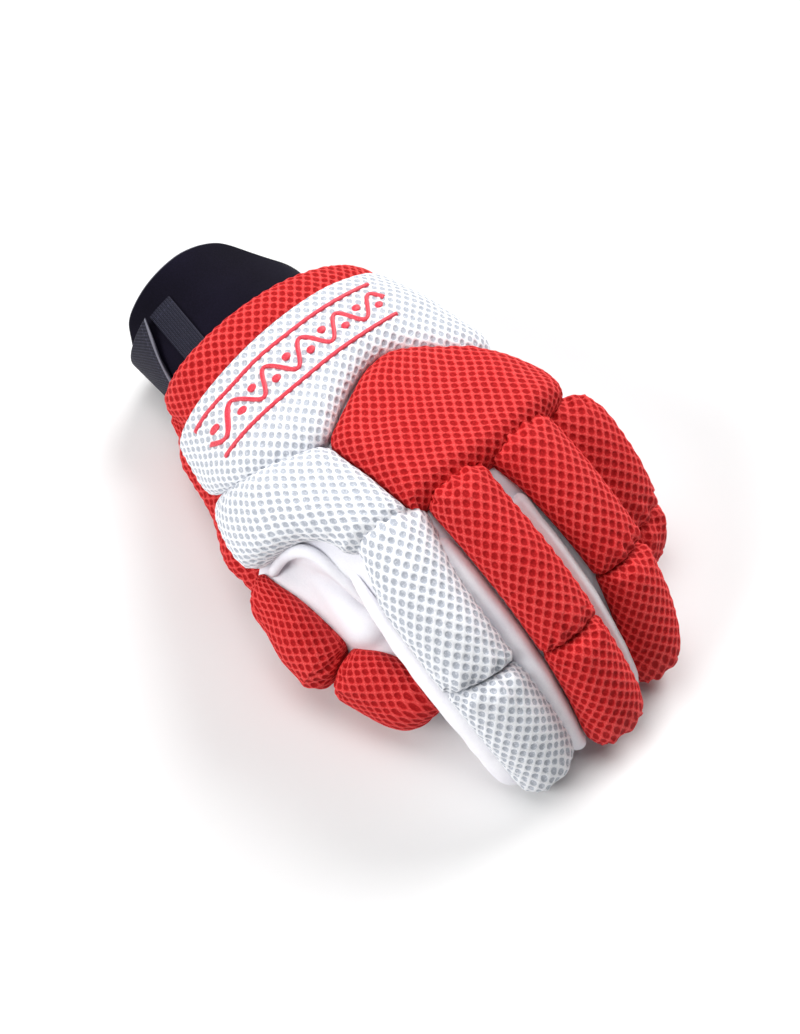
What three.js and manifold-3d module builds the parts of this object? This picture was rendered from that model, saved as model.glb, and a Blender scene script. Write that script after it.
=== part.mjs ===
// A padded roller hockey glove for the left hand, resting palm down.
// Millimetres. +X runs towards the fingertips, +Y towards the little finger, +Z up.
import * as THREE from 'three';
import Module from 'manifold-3d';

const wasm = await Module();
wasm.setup();

// Driving dimensions
const CENTRE = { x: 13.2, y: -15.1 }; // middle of the footprint in the tables below, laid on the origin
const GAP = 0.4; // clearance between neighbouring pieces
const GLOVE_WALL = 2; // stretch fabric of the inner glove
const CUFF_WALL = 2.5; // neoprene of the cuff
const CUFF_DROP = 2.8; // how far the cuff lies below the section of the hand, for the strap to pass
const STRAP_THICK = 1.8;
const ELASTIC_THICK = 1.2;
const SEAM = 1.4; // width of the seam between two pads
const RIM = 4.5; // height of a pad's edge at its seam
const SINK = 2.5; // how far a pad is begun below its seat before it is cut to fit
const FLOOR = 0; // the surface that the glove rests on
const CUFF_START = -58.4; // where the cuff is sewn to the inner glove, under the wrist roll
const GLOVE_START = -58; // wrist end of the inner glove
const HOLLOW_START = -63; // its hollow is begun past the end, so that the wrist stays open
const SEAT_START = -88; // the form that the pads are cut to fit goes on under the wrist roll
const STATIONS = [-88, -73, -63, -58, -44, -30, -15, 0, 12, 25, 37, 47, 54, 59]; // sections of the hand
const KNUCKLE_END = 61; // where the hand's body ends, between the fingers

// Sections of the hand: place of the middle, height of the back, half width, thickness, side radius.
// The tables give a place along the hand as x and a place round it as w, from the middle of the back
// towards the little finger. s is a place along a finger from its first joint.
const HAND = [
  { x: -105, mid: -10, top: 45, half: 34, thick: 46.5, side: 19 },
  { x: -75, mid: -9, top: 49, half: 36, thick: 50.5, side: 20 },
  { x: -58, mid: -9, top: 53, half: 37, thick: 52, side: 20 },
  { x: -30, mid: -10.5, top: 60, half: 42, thick: 46, side: 19 },
  { x: 0, mid: -16.5, top: 67, half: 49, thick: 44, side: 18 },
  { x: 25, mid: -14, top: 72, half: 48, thick: 38, side: 16 },
  { x: 47, mid: -8, top: 73, half: 46, thick: 32, side: 13 },
  { x: 56, mid: -6, top: 69, half: 42, thick: 22, side: 9 },
  { x: 61, mid: -6, top: 63, half: 36, thick: 9, side: 4 },
];

// Fingers: place of the first joint, yaw and pitch at root and tip, length, radii, turn of the pads.
const FINGERS = {
  index: {
    at: [42, -42, 57], yaw: [-14, 16], pitch: [-8, -63],
    length: 82, wide: 13.5, slim: 11.5, roll: -6,
  },
  middle: {
    at: [45, -14.5, 61.5], yaw: [-1, 4], pitch: [-8, -63],
    length: 84, wide: 13.5, slim: 11.5, roll: 0,
  },
  ring: {
    at: [43, 12.5, 59], yaw: [1, 1], pitch: [-12, -66],
    length: 78, wide: 13.5, slim: 11.5, roll: 0,
  },
  little: {
    at: [37.5, 36.5, 50], yaw: [2, 2], pitch: [-16, -76],
    length: 49, wide: 12, slim: 10.5, roll: 10,
  },
  thumb: {
    at: [14, -63, 30], yaw: [14, 14], pitch: [-7, -18],
    length: 56, wide: 13, slim: 11.5, roll: -78,
  },
  thumbRoot: {
    at: [-28, -36, 36], yaw: [-35, -35], pitch: [-9, -9],
    length: 48, wide: 12, slim: 12, roll: 0,
  },
  thumbWeb: {
    at: [-4, -51, 42], yaw: [-6, -6], pitch: [-6, -14],
    length: 52, wide: 12, slim: 10, roll: 0,
  },
  thumbSide: {
    at: [5, -57, 36.5], yaw: [4, 4], pitch: [-8, -16],
    length: 50, wide: 12.5, slim: 10.5, roll: 0,
  },
};
const FINGER_STEPS = 40; // steps in a finger's middle line

// Long pads, a row for each section: its place round the hand, and its back and front edge along it.
// slim gives the pad's thickness at places along it, as a share of its height. The end towards the thumb
// is cut aslant, which fades out over SLANT_LENGTH.
const CROSSWISE_PADS = [
  {
    name: 'wrist_roll', colour: 'red', height: 11.5, shoulder: 10, slant: 0,
    slim: [{ at: -52, share: 0.3 }, { at: -46, share: 0.52 }, { at: -40, share: 0.8 }, { at: -30, share: 1 }],
    rows: [
      { w: -51, back: -67, front: -50 },
      { w: -45, back: -69, front: -50 },
      { w: -25, back: -69, front: -50 },
      { w: 0, back: -67, front: -50 },
      { w: 34, back: -63, front: -49 },
      { w: 50, back: -60, front: -48 },
      { w: 56, back: -58, front: -50 },
    ],
  },
  {
    name: 'wrist_pad', colour: 'white', height: 12.5, shoulder: 11, slant: 0.39,
    rows: [
      { w: -55, back: -49, front: -27 },
      { w: -48, back: -50, front: -21 },
      { w: -35.5, back: -50, front: -9 },
      { w: -17, back: -50, front: 1 },
      { w: -8, back: -50, front: -4 },
      { w: 8, back: -50, front: -12 },
      { w: 21, back: -50, front: -13 },
      { w: 32, back: -49, front: -7 },
      { w: 48, back: -48, front: 8 },
      { w: 59, back: -46, front: 6 },
    ],
  },
];
const SLANT_LENGTH = 27;

// The red strip down the thumb's side: its place along the hand, and its lower and upper edge round it.
const LENGTHWISE_PADS = [
  {
    name: 'side_strip', colour: 'red', height: 16, shoulder: 9,
    slim: [
      { at: -68, share: 0.3 },
      { at: -60, share: 0.42 },
      { at: -50, share: 0.82 },
      { at: -40, share: 0.96 },
      { at: -30, share: 1.02 },
      { at: -10, share: 1.02 },
      { at: 3, share: 1 },
      { at: 12, share: 1.26 },
      { at: 26, share: 1.6 },
    ],
    rows: [
      { x: -68, lower: -64, upper: -51.5 },
      { x: -60, lower: -69, upper: -52 },
      { x: -50, lower: -74, upper: -53 },
      { x: -44, lower: -76, upper: -55.5 },
      { x: -33, lower: -78, upper: -59 },
      { x: -22, lower: -80, upper: -61 },
      { x: -13, lower: -83, upper: -62.5 },
      { x: -5, lower: -85, upper: -63.5 },
      { x: 0, lower: -85, upper: -65 },
      { x: 8, lower: -84, upper: -67 },
      { x: 26, lower: -79, upper: -68.5 },
    ],
  },
];

// Other pads on the back of the hand: corners as places along the hand and round it.
const HAND_PADS = [
  {
    name: 'thumb_side_pad', colour: 'white', height: 12, shoulder: 9, corner: 5, middle: [14, -38],
    outline: [[-25, -57.5], [-13, -60.2], [0, -62.8], [11, -65.5], [14, -57], [20, -46.5], [30, -42.5],
      [38, -44.5], [42, -37], [44, -22.5], [24, -18], [1.5, -16], [-9, -35.5]],
  },
  {
    name: 'knuckle_pad', colour: 'red', height: 12.5, shoulder: 10, corner: 4, middle: [18, 12],
    outline: [[1.5, -16], [24, -18], [44, -22.5], [45, -8], [48, 14], [47, 30], [44, 46], [30, 57],
      [8, 48], [-7, 32], [-13, 21], [-12, 10]],
  },
];

// The rolled edge of the cloth between thumb and index: its middle line, and the size of its section,
// which is deeper below, where it is cut to fit the hand.
const WEB_HEM = {
  line: [[13.4, -71, 40], [14, -65.5, 47.5], [18.5, -63.7, 57.5], [25.5, -60.7, 61], [36, -59.4, 56],
    [42.5, -57.6, 50.8], [48.5, -55.4, 45.5], [52, -53, 41]],
  outwards: [0.1, -0.8, 0.6],
  wide: 2.4,
  above: 2,
  below: 7,
};

// Pads on the fingers: points of the low and the high side, each as a place along the finger's middle line
// and one round it.
const FINGER_PADS = [
  {
    finger: 'index', part: 'proximal', colour: 'white', height: 11.5,
    low: [[-7, -8], [3, -9], [14, -11.5], [45, -11.5]], high: [[-7, 15], [4, 14.5], [16, 12], [51, 11]],
  },
  {
    finger: 'index', part: 'distal', colour: 'white', height: 11,
    low: [[45, -11.5], [94, -11.5]], high: [[51, 11], [95, 11]],
  },
  {
    finger: 'middle', part: 'proximal', colour: 'red', height: 11.5,
    low: [[-4, -12], [53.5, -11.5]], high: [[-4, 10.5], [10, 9.5], [54, 9.5]],
  },
  {
    finger: 'middle', part: 'distal', colour: 'red', height: 11,
    low: [[53.5, -11.5], [94.5, -11.5]], high: [[54, 9.5], [94.5, 10]],
  },
  {
    finger: 'ring', part: 'proximal', colour: 'red', height: 11.5,
    low: [[-4, -11], [12, -9.5], [45.5, -5]], high: [[-4, 14], [16, 14.5], [47, 15]],
  },
  {
    finger: 'ring', part: 'distal', colour: 'red', height: 11.5,
    low: [[45.5, -5], [89, -9]], high: [[47, 15], [66, 14.5], [89, 9.5]],
  },
  {
    finger: 'little', part: 'proximal', colour: 'red', height: 11,
    low: [[-7, -20], [4, -20], [22, -16], [41.5, -11]], high: [[1, 8], [9, 10.5], [41.5, 11]],
  },
  {
    finger: 'little', part: 'distal', colour: 'red', height: 11.5,
    low: [[41.5, -10.5], [61, -10.5]], high: [[41.5, 11.5], [61, 11.5]],
  },
  {
    finger: 'thumb', part: 'proximal', colour: 'red', height: 15,
    low: [[-4, -12], [8, -18], [37.5, -21.5]], high: [[-8.5, 8.5], [10, 8], [24, 5], [31.5, 3]],
    slim: [
      { at: -8, share: 0.4 },
      { at: 5, share: 0.66 },
      { at: 15, share: 0.94 },
      { at: 26, share: 1.14 },
      { at: 33, share: 1.04 },
    ],
  },
  {
    finger: 'thumb', part: 'distal', colour: 'red', height: 14,
    low: [[37.5, -18], [65, -13]], high: [[31.5, 3], [38, 7.5], [45, 10], [67, 11]],
    slim: [{ at: 40, share: 0.98 }, { at: 65, share: 0.9 }],
  },
];
const FINGER_CORNER = 4; // radius of the pads' corners
const FINGER_SHOULDER = 9.5; // how far in from its rim a finger's pad reaches full height

// End of the cuff: how far back it reaches at each place round it, from the little finger's side
// over the back and the thumb's side to the palm. w is a share of the half girth.
const CUFF_END = [
  { w: -1, x: -97 },
  { w: -0.75, x: -97 },
  { w: -0.5, x: -95.5 },
  { w: -0.43, x: -97.5 },
  { w: -0.36, x: -101.5 },
  { w: -0.29, x: -103.5 },
  { w: -0.2, x: -105.2 },
  { w: -0.1, x: -106 },
  { w: 0, x: -106 },
  { w: 0.06, x: -105.2 },
  { w: 0.12, x: -103.6 },
  { w: 0.18, x: -101 },
  { w: 0.22, x: -97.4 },
  { w: 0.265, x: -91 },
  { w: 0.32, x: -83.4 },
  { w: 0.45, x: -75.5 },
  { w: 0.7, x: -74 },
  { w: 1, x: -97 },
];

// The strap's edges lie at back and front. Its free end is cut from backEdge to frontEdge (places round
// the hand), and it wraps past the middle of the palm. Its free end stands off the cuff by lift.
const STRAP = { back: -94.5, front: -66, backEdge: -25.5, frontEdge: -44, wrapPast: 14, lift: 3, liftLength: 13 };
// The elastic runs from back to front, and the middle of its width lies at these places round the hand.
const ELASTIC = { back: -94.5, front: -62, backMiddle: -19.5, frontMiddle: -25.5, width: 11 };

const FINISHES = {
  red: { color: 0xe52a2a, roughness: 0.8 },
  white: { color: 0xf4f5f7, roughness: 0.8 },
  lining: { color: 0xeeeef0, roughness: 0.7 },
  black: { color: 0x17151f, roughness: 0.6 },
  webbing: { color: 0x2c2b36, roughness: 0.75 },
};

const radians = THREE.MathUtils.degToRad;

// One row of a table at any value of its key column, eased smoothly between the rows.
function sample(rows, key, value) {
  const last = rows.length - 1;
  const at = THREE.MathUtils.clamp(value, rows[0][key], rows[last][key]);
  let i = 0;
  while (i < last - 1 && at > rows[i + 1][key]) i += 1;
  const [from, to] = [rows[i], rows[i + 1]];
  const [before, after] = [rows[Math.max(i - 1, 0)], rows[Math.min(i + 2, last)]];
  const span = to[key] - from[key];
  const t = (at - from[key]) / span;
  const row = {};
  for (const column of Object.keys(from)) {
    const slopeFrom = (to[column] - before[column]) / (to[key] - before[key]);
    const slopeTo = (after[column] - from[column]) / (after[key] - from[key]);
    row[column] = (1 + 2 * t) * (1 - t) ** 2 * from[column] + t * (1 - t) ** 2 * span * slopeFrom
      + t * t * (3 - 2 * t) * to[column] + t * t * (t - 1) * span * slopeTo;
  }
  return row;
}

// A section of the hand is an oval of four arcs: a wide one over the back and under the palm,
// and a tight one on each side.
function handSection(x) {
  const { mid, top, half, thick, side } = sample(HAND, 'x', x);
  const rise = thick / 2;
  const wide = ((half - side) ** 2 + rise ** 2 - side ** 2) / (2 * (rise - side));
  const turn = Math.asin((half - side) / (wide - side));
  const crown = wide * turn;
  const flank = side * (Math.PI - 2 * turn);
  return { mid, middleZ: top - rise, rise, side, wide, turn, crown, flank, halfGirth: 2 * crown + flank };
}

// The point at x along the hand, w round it from the middle of the back, and h above its surface.
function handPoint(x, w, h) {
  const c = handSection(x);
  const round = Math.abs(w);
  let angle = Math.PI - c.turn + (round - c.crown - c.flank) / c.wide;
  let [centreY, centreZ, radius] = [0, c.wide - c.rise, c.wide];
  if (round < c.crown) {
    angle = round / c.wide;
    centreZ = c.rise - c.wide;
  } else if (round < c.crown + c.flank) {
    angle = c.turn + (round - c.crown) / c.side;
    [centreY, centreZ, radius] = [(c.wide - c.side) * Math.sin(c.turn), 0, c.side];
  }
  const out = centreY + (radius + h) * Math.sin(angle);
  const up = centreZ + (radius + h) * Math.cos(angle);
  return new THREE.Vector3(x, c.mid + Math.sign(w) * out, c.middleZ + up);
}

// The directions along a finger, across it and out of its back, at a share of its length.
function fingerAxes(finger, share) {
  const yaw = radians(THREE.MathUtils.lerp(...finger.yaw, share));
  const pitch = radians(THREE.MathUtils.lerp(...finger.pitch, share));
  const ahead = new THREE.Vector3(Math.cos(yaw), Math.sin(yaw), 0);
  const tangent = ahead.multiplyScalar(Math.cos(pitch)).setZ(Math.sin(pitch));
  const side = new THREE.Vector3(-Math.sin(yaw), Math.cos(yaw), 0);
  return { tangent, side, top: new THREE.Vector3().crossVectors(tangent, side) };
}

// A finger's middle line adds up short steps, while its yaw and pitch change evenly.
function fingerLine(finger) {
  const line = [new THREE.Vector3(...finger.at)];
  for (let i = 0; i < FINGER_STEPS; i += 1) {
    const { tangent } = fingerAxes(finger, (i + 0.5) / FINGER_STEPS);
    line.push(line[i].clone().addScaledVector(tangent, finger.length / FINGER_STEPS));
  }
  return line;
}

const MIDDLE_LINES = new Map(Object.values(FINGERS).map((finger) => [finger, fingerLine(finger)]));

// The point at s along a finger, w round it from the middle of its pads, and h above its skin.
// A half ball closes each end.
function fingerPoint(finger, s, w, h) {
  const along = THREE.MathUtils.clamp(s, 0, finger.length);
  const share = along / finger.length;
  const line = MIDDLE_LINES.get(finger);
  const i = Math.min(Math.floor(share * FINGER_STEPS), FINGER_STEPS - 1);
  const centre = line[i].clone().lerp(line[i + 1], share * FINGER_STEPS - i);
  const { tangent, side, top } = fingerAxes(finger, share);
  const radius = THREE.MathUtils.lerp(finger.wide, finger.slim, share);
  const round = w / radius + radians(finger.roll);
  const lean = THREE.MathUtils.clamp((s - along) / radius, -Math.PI / 2, Math.PI / 2);
  return centre
    .addScaledVector(top, Math.cos(lean) * Math.cos(round) * (radius + h))
    .addScaledVector(side, Math.cos(lean) * Math.sin(round) * (radius + h))
    .addScaledVector(tangent, Math.sin(lean) * (radius + h));
}

// A closed solid through rings of points, with a fan of faces over the first and the last ring.
// A tube joins its last ring to its first instead.
function loft(rings, tube = false) {
  const count = rings[0].length;
  const points = rings.flat();
  const faces = [];
  const bands = tube ? rings.length : rings.length - 1;
  for (let i = 0; i < bands; i += 1) {
    for (let j = 0; j < count; j += 1) {
      const [next, nextRing] = [(j + 1) % count, (i + 1) % rings.length];
      const [a, b] = [i * count + j, i * count + next];
      const [c, d] = [nextRing * count + j, nextRing * count + next];
      faces.push([a, b, d], [a, d, c]);
    }
  }
  if (!tube) {
    const first = points.push(centreOf(rings[0])) - 1;
    const last = points.push(centreOf(rings[rings.length - 1])) - 1;
    const start = (rings.length - 1) * count;
    for (let j = 0; j < count; j += 1) {
      faces.push([first, (j + 1) % count, j], [last, start + j, start + (j + 1) % count]);
    }
  }
  const volume = faces.reduce((sum, [a, b, c]) => sum
    + points[a].dot(new THREE.Vector3().crossVectors(points[b], points[c])), 0);
  const triVerts = new Uint32Array(faces.flatMap(([a, b, c]) => (volume > 0 ? [a, b, c] : [a, c, b])));
  const vertProperties = new Float32Array(points.flatMap((p) => p.toArray()));
  return new wasm.Manifold(new wasm.Mesh({ numProp: 3, vertProperties, triVerts }));
}

function centreOf(points) {
  return points.reduce((sum, p) => sum.add(p), new THREE.Vector3()).divideScalar(points.length);
}

// The largest body of a solid, after its cutters are taken away.
function cut(solid, cutters) {
  const rest = cutters.reduce((left, cutter) => left.subtract(cutter), solid);
  return rest.decompose().sort((a, b) => b.volume() - a.volume())[0];
}

// A polygon with rounded corners as evenly spaced points, moved inwards by a distance.
function outlinePoints(corners, radius, count, inset) {
  const shape = new THREE.Shape();
  corners.forEach((corner, i) => {
    const here = new THREE.Vector2(...corner);
    const before = new THREE.Vector2(...corners[(i + corners.length - 1) % corners.length]);
    const after = new THREE.Vector2(...corners[(i + 1) % corners.length]);
    const reach = (other) => Math.min(radius, here.distanceTo(other) / 2);
    const enter = here.clone().lerp(before, reach(before) / here.distanceTo(before));
    const leave = here.clone().lerp(after, reach(after) / here.distanceTo(after));
    if (i === 0) shape.moveTo(enter.x, enter.y);
    else shape.lineTo(enter.x, enter.y);
    shape.quadraticCurveTo(here.x, here.y, leave.x, leave.y);
  });
  shape.closePath();
  const loop = shape.getSpacedPoints(count).slice(0, count);
  const turn = THREE.ShapeUtils.isClockWise(loop) ? -1 : 1;
  return loop.map((p, i) => {
    const along = loop[(i + 1) % count].clone().sub(loop[(i + count - 1) % count]).normalize();
    return new THREE.Vector2(p.x - along.y * turn * inset, p.y + along.x * turn * inset);
  });
}

function distanceToLoop(point, loop) {
  let nearest = Infinity;
  loop.forEach((a, i) => {
    const edge = loop[(i + 1) % loop.length].clone().sub(a);
    const t = THREE.MathUtils.clamp(point.clone().sub(a).dot(edge) / edge.lengthSq(), 0, 1);
    nearest = Math.min(nearest, point.distanceTo(a.clone().addScaledVector(edge, t)));
  });
  return nearest;
}

// The height of a pad rises from its rim over an elliptical shoulder to the full height.
function crownOf(pad, grow) {
  return (depth) => {
    const rise = Math.sqrt(1 - (1 - Math.min(depth / pad.shoulder, 1)) ** 2);
    return RIM + (pad.height - RIM) * rise + grow;
  };
}

// How thick a pad is at a place along it, as a share of its height.
function slimness(pad, place) {
  return pad.slim ? sample(pad.slim, 'at', place).share : 1;
}

// A pad whose outline stands on a chart of the surface below, as rings drawn in to its middle.
function padSolid(pad, grow = 0) {
  const rim = outlinePoints(pad.outline, pad.corner, 28, SEAM / 2 - grow);
  const middle = new THREE.Vector2(...pad.middle);
  const ring = (share, height) => rim.map((p) => {
    const place = middle.clone().lerp(p, share);
    const tall = height(distanceToLoop(place, rim));
    return pad.chart(place.x, place.y, tall > 0 ? tall * slimness(pad, place.x) : tall);
  });
  const crown = crownOf(pad, grow);
  return loft([
    ring(0.5, () => -SINK),
    ring(1, () => -SINK),
    ring(1, () => RIM + grow),
    ring(0.9, crown),
    ring(0.7, crown),
    ring(0.35, crown),
  ]);
}

// A long pad as sections between its two edges: key names the column of the places along it,
// and low and high those of its edges.
function longPadSolid(pad, key, low, high, grow = 0) {
  const [sections, inset] = [16, SEAM / 2 - grow];
  const [first, last] = [pad.rows[0][key] + inset, pad.rows[pad.rows.length - 1][key] - inset];
  const cuts = Array.from({ length: sections + 1 }, (_, i) => {
    const at = THREE.MathUtils.lerp(first, last, i / sections);
    const row = sample(pad.rows, key, at);
    return { at, low: row[low] + inset, high: row[high] - inset };
  });
  const rim = [
    ...cuts.map((c) => new THREE.Vector2(c.at, c.low)),
    ...cuts.map((c) => new THREE.Vector2(c.at, c.high)).reverse(),
  ];
  const crown = crownOf(pad, grow);
  const across = [0, 0.08, 0.24, 0.5, 0.76, 0.92, 1];
  const middle = (pad.rows[0][low] + pad.rows[0][high]) / 2;
  const point = (at, side, h) => {
    if (key === 'x') return handPoint(at, side, h);
    const fade = THREE.MathUtils.clamp((first + SLANT_LENGTH - at) / SLANT_LENGTH, 0, 1);
    return handPoint(side, at - pad.slant * (side - middle) * fade, h);
  };
  return loft(cuts.map((c) => [
    ...across.map((share) => {
      const side = THREE.MathUtils.lerp(c.low, c.high, share);
      const tall = crown(distanceToLoop(new THREE.Vector2(c.at, side), rim)) * slimness(pad, c.at);
      return point(c.at, side, tall);
    }),
    point(c.at, c.high, -SINK),
    point(c.at, c.low, -SINK),
  ]));
}

// The roll of cloth along the web's edge.
function hemSolid(grow) {
  const curve = new THREE.CatmullRomCurve3(WEB_HEM.line.map((p) => new THREE.Vector3(...p)));
  const facing = new THREE.Vector3(...WEB_HEM.outwards);
  const [around, steps] = [12, 20];
  return loft(Array.from({ length: steps + 1 }, (_, i) => {
    const [middle, tangent] = [curve.getPointAt(i / steps), curve.getTangentAt(i / steps)];
    const across = new THREE.Vector3().crossVectors(tangent, facing).normalize();
    const out = new THREE.Vector3().crossVectors(across, tangent);
    return Array.from({ length: around }, (__, j) => {
      const angle = 2 * Math.PI * (j / around);
      const reach = Math.sin(angle) > 0 ? WEB_HEM.above : WEB_HEM.below;
      return middle.clone()
        .addScaledVector(across, Math.cos(angle) * (WEB_HEM.wide + grow))
        .addScaledVector(out, Math.sin(angle) * (reach + grow));
    });
  }));
}

// The body of the hand, grown or shrunk by an offset.
function handSolid(offset, start) {
  const places = [...STATIONS, KNUCKLE_END + offset].filter((x) => x >= start);
  const around = 24;
  return loft(places.map((x) => Array.from({ length: around }, (_, j) => {
    const w = (2 * (j + 0.5) / around - 1) * handSection(x).halfGirth;
    return handPoint(x, w, offset);
  })));
}

// One finger's tube with a half ball at each end, grown or shrunk by an offset.
function fingerSolid(finger, offset) {
  const [around, bends, caps] = [12, 8, 2];
  const capArc = Math.PI / 2 / (caps + 0.3); // the last ring stops short of the pole
  const places = [];
  for (let i = caps; i > 0; i -= 1) places.push(-finger.wide * capArc * i);
  for (let i = 0; i <= bends; i += 1) places.push(finger.length * (i / bends));
  for (let i = 1; i <= caps; i += 1) places.push(finger.length + finger.slim * capArc * i);
  return loft(places.map((s) => Array.from({ length: around }, (_, j) => {
    const share = THREE.MathUtils.clamp(s / finger.length, 0, 1);
    const girth = 2 * Math.PI * THREE.MathUtils.lerp(finger.wide, finger.slim, share);
    return fingerPoint(finger, s, girth * (j / around), offset);
  })));
}

function handForm(offset, start) {
  const hand = handSolid(offset, start);
  return Object.values(FINGERS).reduce((body, finger) => body.add(fingerSolid(finger, offset)), hand);
}

// The cuff is an open tube whose end is cut on a curve.
function cuffSolid(grow = 0) {
  const [around, steps] = [40, 4];
  const surface = (depth, share) => Array.from({ length: around }, (_, j) => {
    const round = 2 * (j + 0.5) / around - 1;
    const x = THREE.MathUtils.lerp(CUFF_START + grow, sample(CUFF_END, 'w', round).x - grow, share);
    const point = handPoint(x, round * handSection(x).halfGirth, -CUFF_DROP - depth);
    point.z = Math.max(point.z, FLOOR + STRAP_THICK + GAP + depth);
    return point;
  });
  const shares = Array.from({ length: steps + 1 }, (_, i) => i / steps);
  return loft([
    ...shares.map((share) => surface(-grow, share)),
    ...shares.reverse().map((share) => surface(CUFF_WALL, share)),
  ], true);
}

// A flat band laid on the cuff, as rings round its section, begun a bite too deep and cut to fit.
// route(t) gives its back and front edge as places on the hand, and how far the back edge is lifted.
function bandSolid(route, steps, thick) {
  const across = 3;
  const bite = 0.5;
  const rings = Array.from({ length: steps + 1 }, (_, i) => {
    const { back, front, lift } = route(i / steps);
    const row = (h, level) => Array.from({ length: across + 1 }, (_, k) => {
      const share = k / across;
      const [x, w] = [0, 1].map((n) => THREE.MathUtils.lerp(back[n], front[n], share));
      const point = handPoint(x, w, h + lift * (1 - share) - CUFF_DROP);
      point.z = Math.max(point.z, level);
      return point;
    });
    return [...row(GAP - bite, FLOOR + thick - bite), ...row(GAP + thick, FLOOR).reverse()];
  });
  return cut(loft(rings), [cuffSolid(GAP)]);
}

// The strap comes from the palm round the thumb's side, and the back of its end stands off the cuff.
function strapRoute(t) {
  const { back, front, backEdge, frontEdge, wrapPast, lift, liftLength } = STRAP;
  const place = (x, edge) => [x, THREE.MathUtils.lerp(edge, -handSection(x).halfGirth - wrapPast, t)];
  const travelled = t * (handSection(back).halfGirth + backEdge);
  const raised = lift * Math.max(0, 1 - travelled / liftLength) ** 2;
  return { back: place(back, backEdge), front: place(front, frontEdge), lift: raised };
}

function elasticRoute(t) {
  const { back, front, backMiddle, frontMiddle, width } = ELASTIC;
  const x = THREE.MathUtils.lerp(back, front, t);
  const middle = THREE.MathUtils.lerp(backMiddle, frontMiddle, t);
  return { back: [x, middle - width / 2], front: [x, middle + width / 2], lift: 0 };
}

const glove = new THREE.Group();
glove.position.set(-CENTRE.x, -CENTRE.y, 0);

function addPiece(name, solid, finish) {
  const { vertProperties, triVerts } = solid.getMesh();
  const geometry = new THREE.BufferGeometry();
  geometry.setAttribute('position', new THREE.BufferAttribute(vertProperties, 3));
  geometry.setIndex(new THREE.BufferAttribute(triVerts, 1));
  geometry.computeVertexNormals();
  const material = new THREE.MeshStandardMaterial({ ...FINISHES[finish], metalness: 0 });
  const mesh = new THREE.Mesh(geometry, material);
  mesh.name = name;
  glove.add(mesh);
}

const hollow = handForm(-GLOVE_WALL, HOLLOW_START);
addPiece('inner_glove', cut(handForm(0, GLOVE_START), [hollow]), 'lining');

// Every pad is cut to fit the hand and the pads that were laid before it.
const laid = [handForm(GAP, SEAT_START)];
function lay(name, colour, solidOf) {
  addPiece(name, cut(solidOf(0), laid), colour);
  laid.push(solidOf(GAP));
}

for (const pad of CROSSWISE_PADS) {
  lay(pad.name, pad.colour, (grow) => longPadSolid(pad, 'w', 'back', 'front', grow));
}
for (const pad of LENGTHWISE_PADS) {
  lay(pad.name, pad.colour, (grow) => longPadSolid(pad, 'x', 'lower', 'upper', grow));
}
for (const pad of HAND_PADS) {
  lay(pad.name, pad.colour, (grow) => padSolid({ ...pad, chart: handPoint }, grow));
}
lay('thumb_web_hem', 'lining', hemSolid);
for (const pad of FINGER_PADS) {
  const { finger, part, low, high } = pad;
  const ends = [low[0], low[low.length - 1], high[0], high[high.length - 1]];
  lay(`${finger}_${part}_pad`, pad.colour, (grow) => padSolid({
    ...pad,
    corner: FINGER_CORNER,
    shoulder: FINGER_SHOULDER,
    middle: [0, 1].map((k) => ends.reduce((sum, end) => sum + end[k] / 4, 0)),
    outline: [...low, ...high.slice().reverse()],
    chart: (s, w, h) => fingerPoint(FINGERS[finger], s, w, h),
  }, grow));
}

addPiece('wrist_cuff', cuffSolid(), 'black');
addPiece('wrist_strap', bandSolid(strapRoute, 24, STRAP_THICK), 'webbing');
addPiece('elastic_band', bandSolid(elasticRoute, 6, ELASTIC_THICK), 'webbing');

export default glove;
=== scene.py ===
from math import pi, radians

import bpy
import numpy as np
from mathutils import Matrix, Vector


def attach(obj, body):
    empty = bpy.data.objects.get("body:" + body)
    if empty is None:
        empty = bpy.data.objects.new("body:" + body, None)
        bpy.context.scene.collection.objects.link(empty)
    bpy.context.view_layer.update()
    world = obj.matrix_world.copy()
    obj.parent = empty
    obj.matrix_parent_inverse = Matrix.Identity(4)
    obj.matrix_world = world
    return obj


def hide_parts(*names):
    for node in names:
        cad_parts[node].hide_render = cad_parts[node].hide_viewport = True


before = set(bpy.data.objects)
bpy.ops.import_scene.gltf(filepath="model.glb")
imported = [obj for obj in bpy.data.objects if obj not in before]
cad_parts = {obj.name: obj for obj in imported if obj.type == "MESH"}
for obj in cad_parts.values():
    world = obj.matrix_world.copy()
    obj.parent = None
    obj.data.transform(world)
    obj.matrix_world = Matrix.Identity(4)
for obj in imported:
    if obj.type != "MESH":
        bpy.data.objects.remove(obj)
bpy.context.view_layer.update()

mm = 0.001
centre = (13.2, -15.1)  # middle of the footprint in the tables below, laid on the origin
step = 0.48  # spacing of the pads' grids

# Sections of the hand: place of the middle, height of the back, half width, thickness, side radius.
hand = dict(
    x=[-105, -75, -58, -30, 0, 25, 47, 56, 61],
    mid=[-10, -9, -9, -10.5, -16.5, -14, -8, -6, -6],
    top=[45, 49, 53, 60, 67, 72, 73, 69, 63],
    half=[34, 36, 37, 42, 49, 48, 46, 42, 36],
    thick=[46.5, 50.5, 52, 46, 44, 38, 32, 22, 9],
    side=[19, 20, 20, 19, 18, 16, 13, 9, 4],
)

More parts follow.
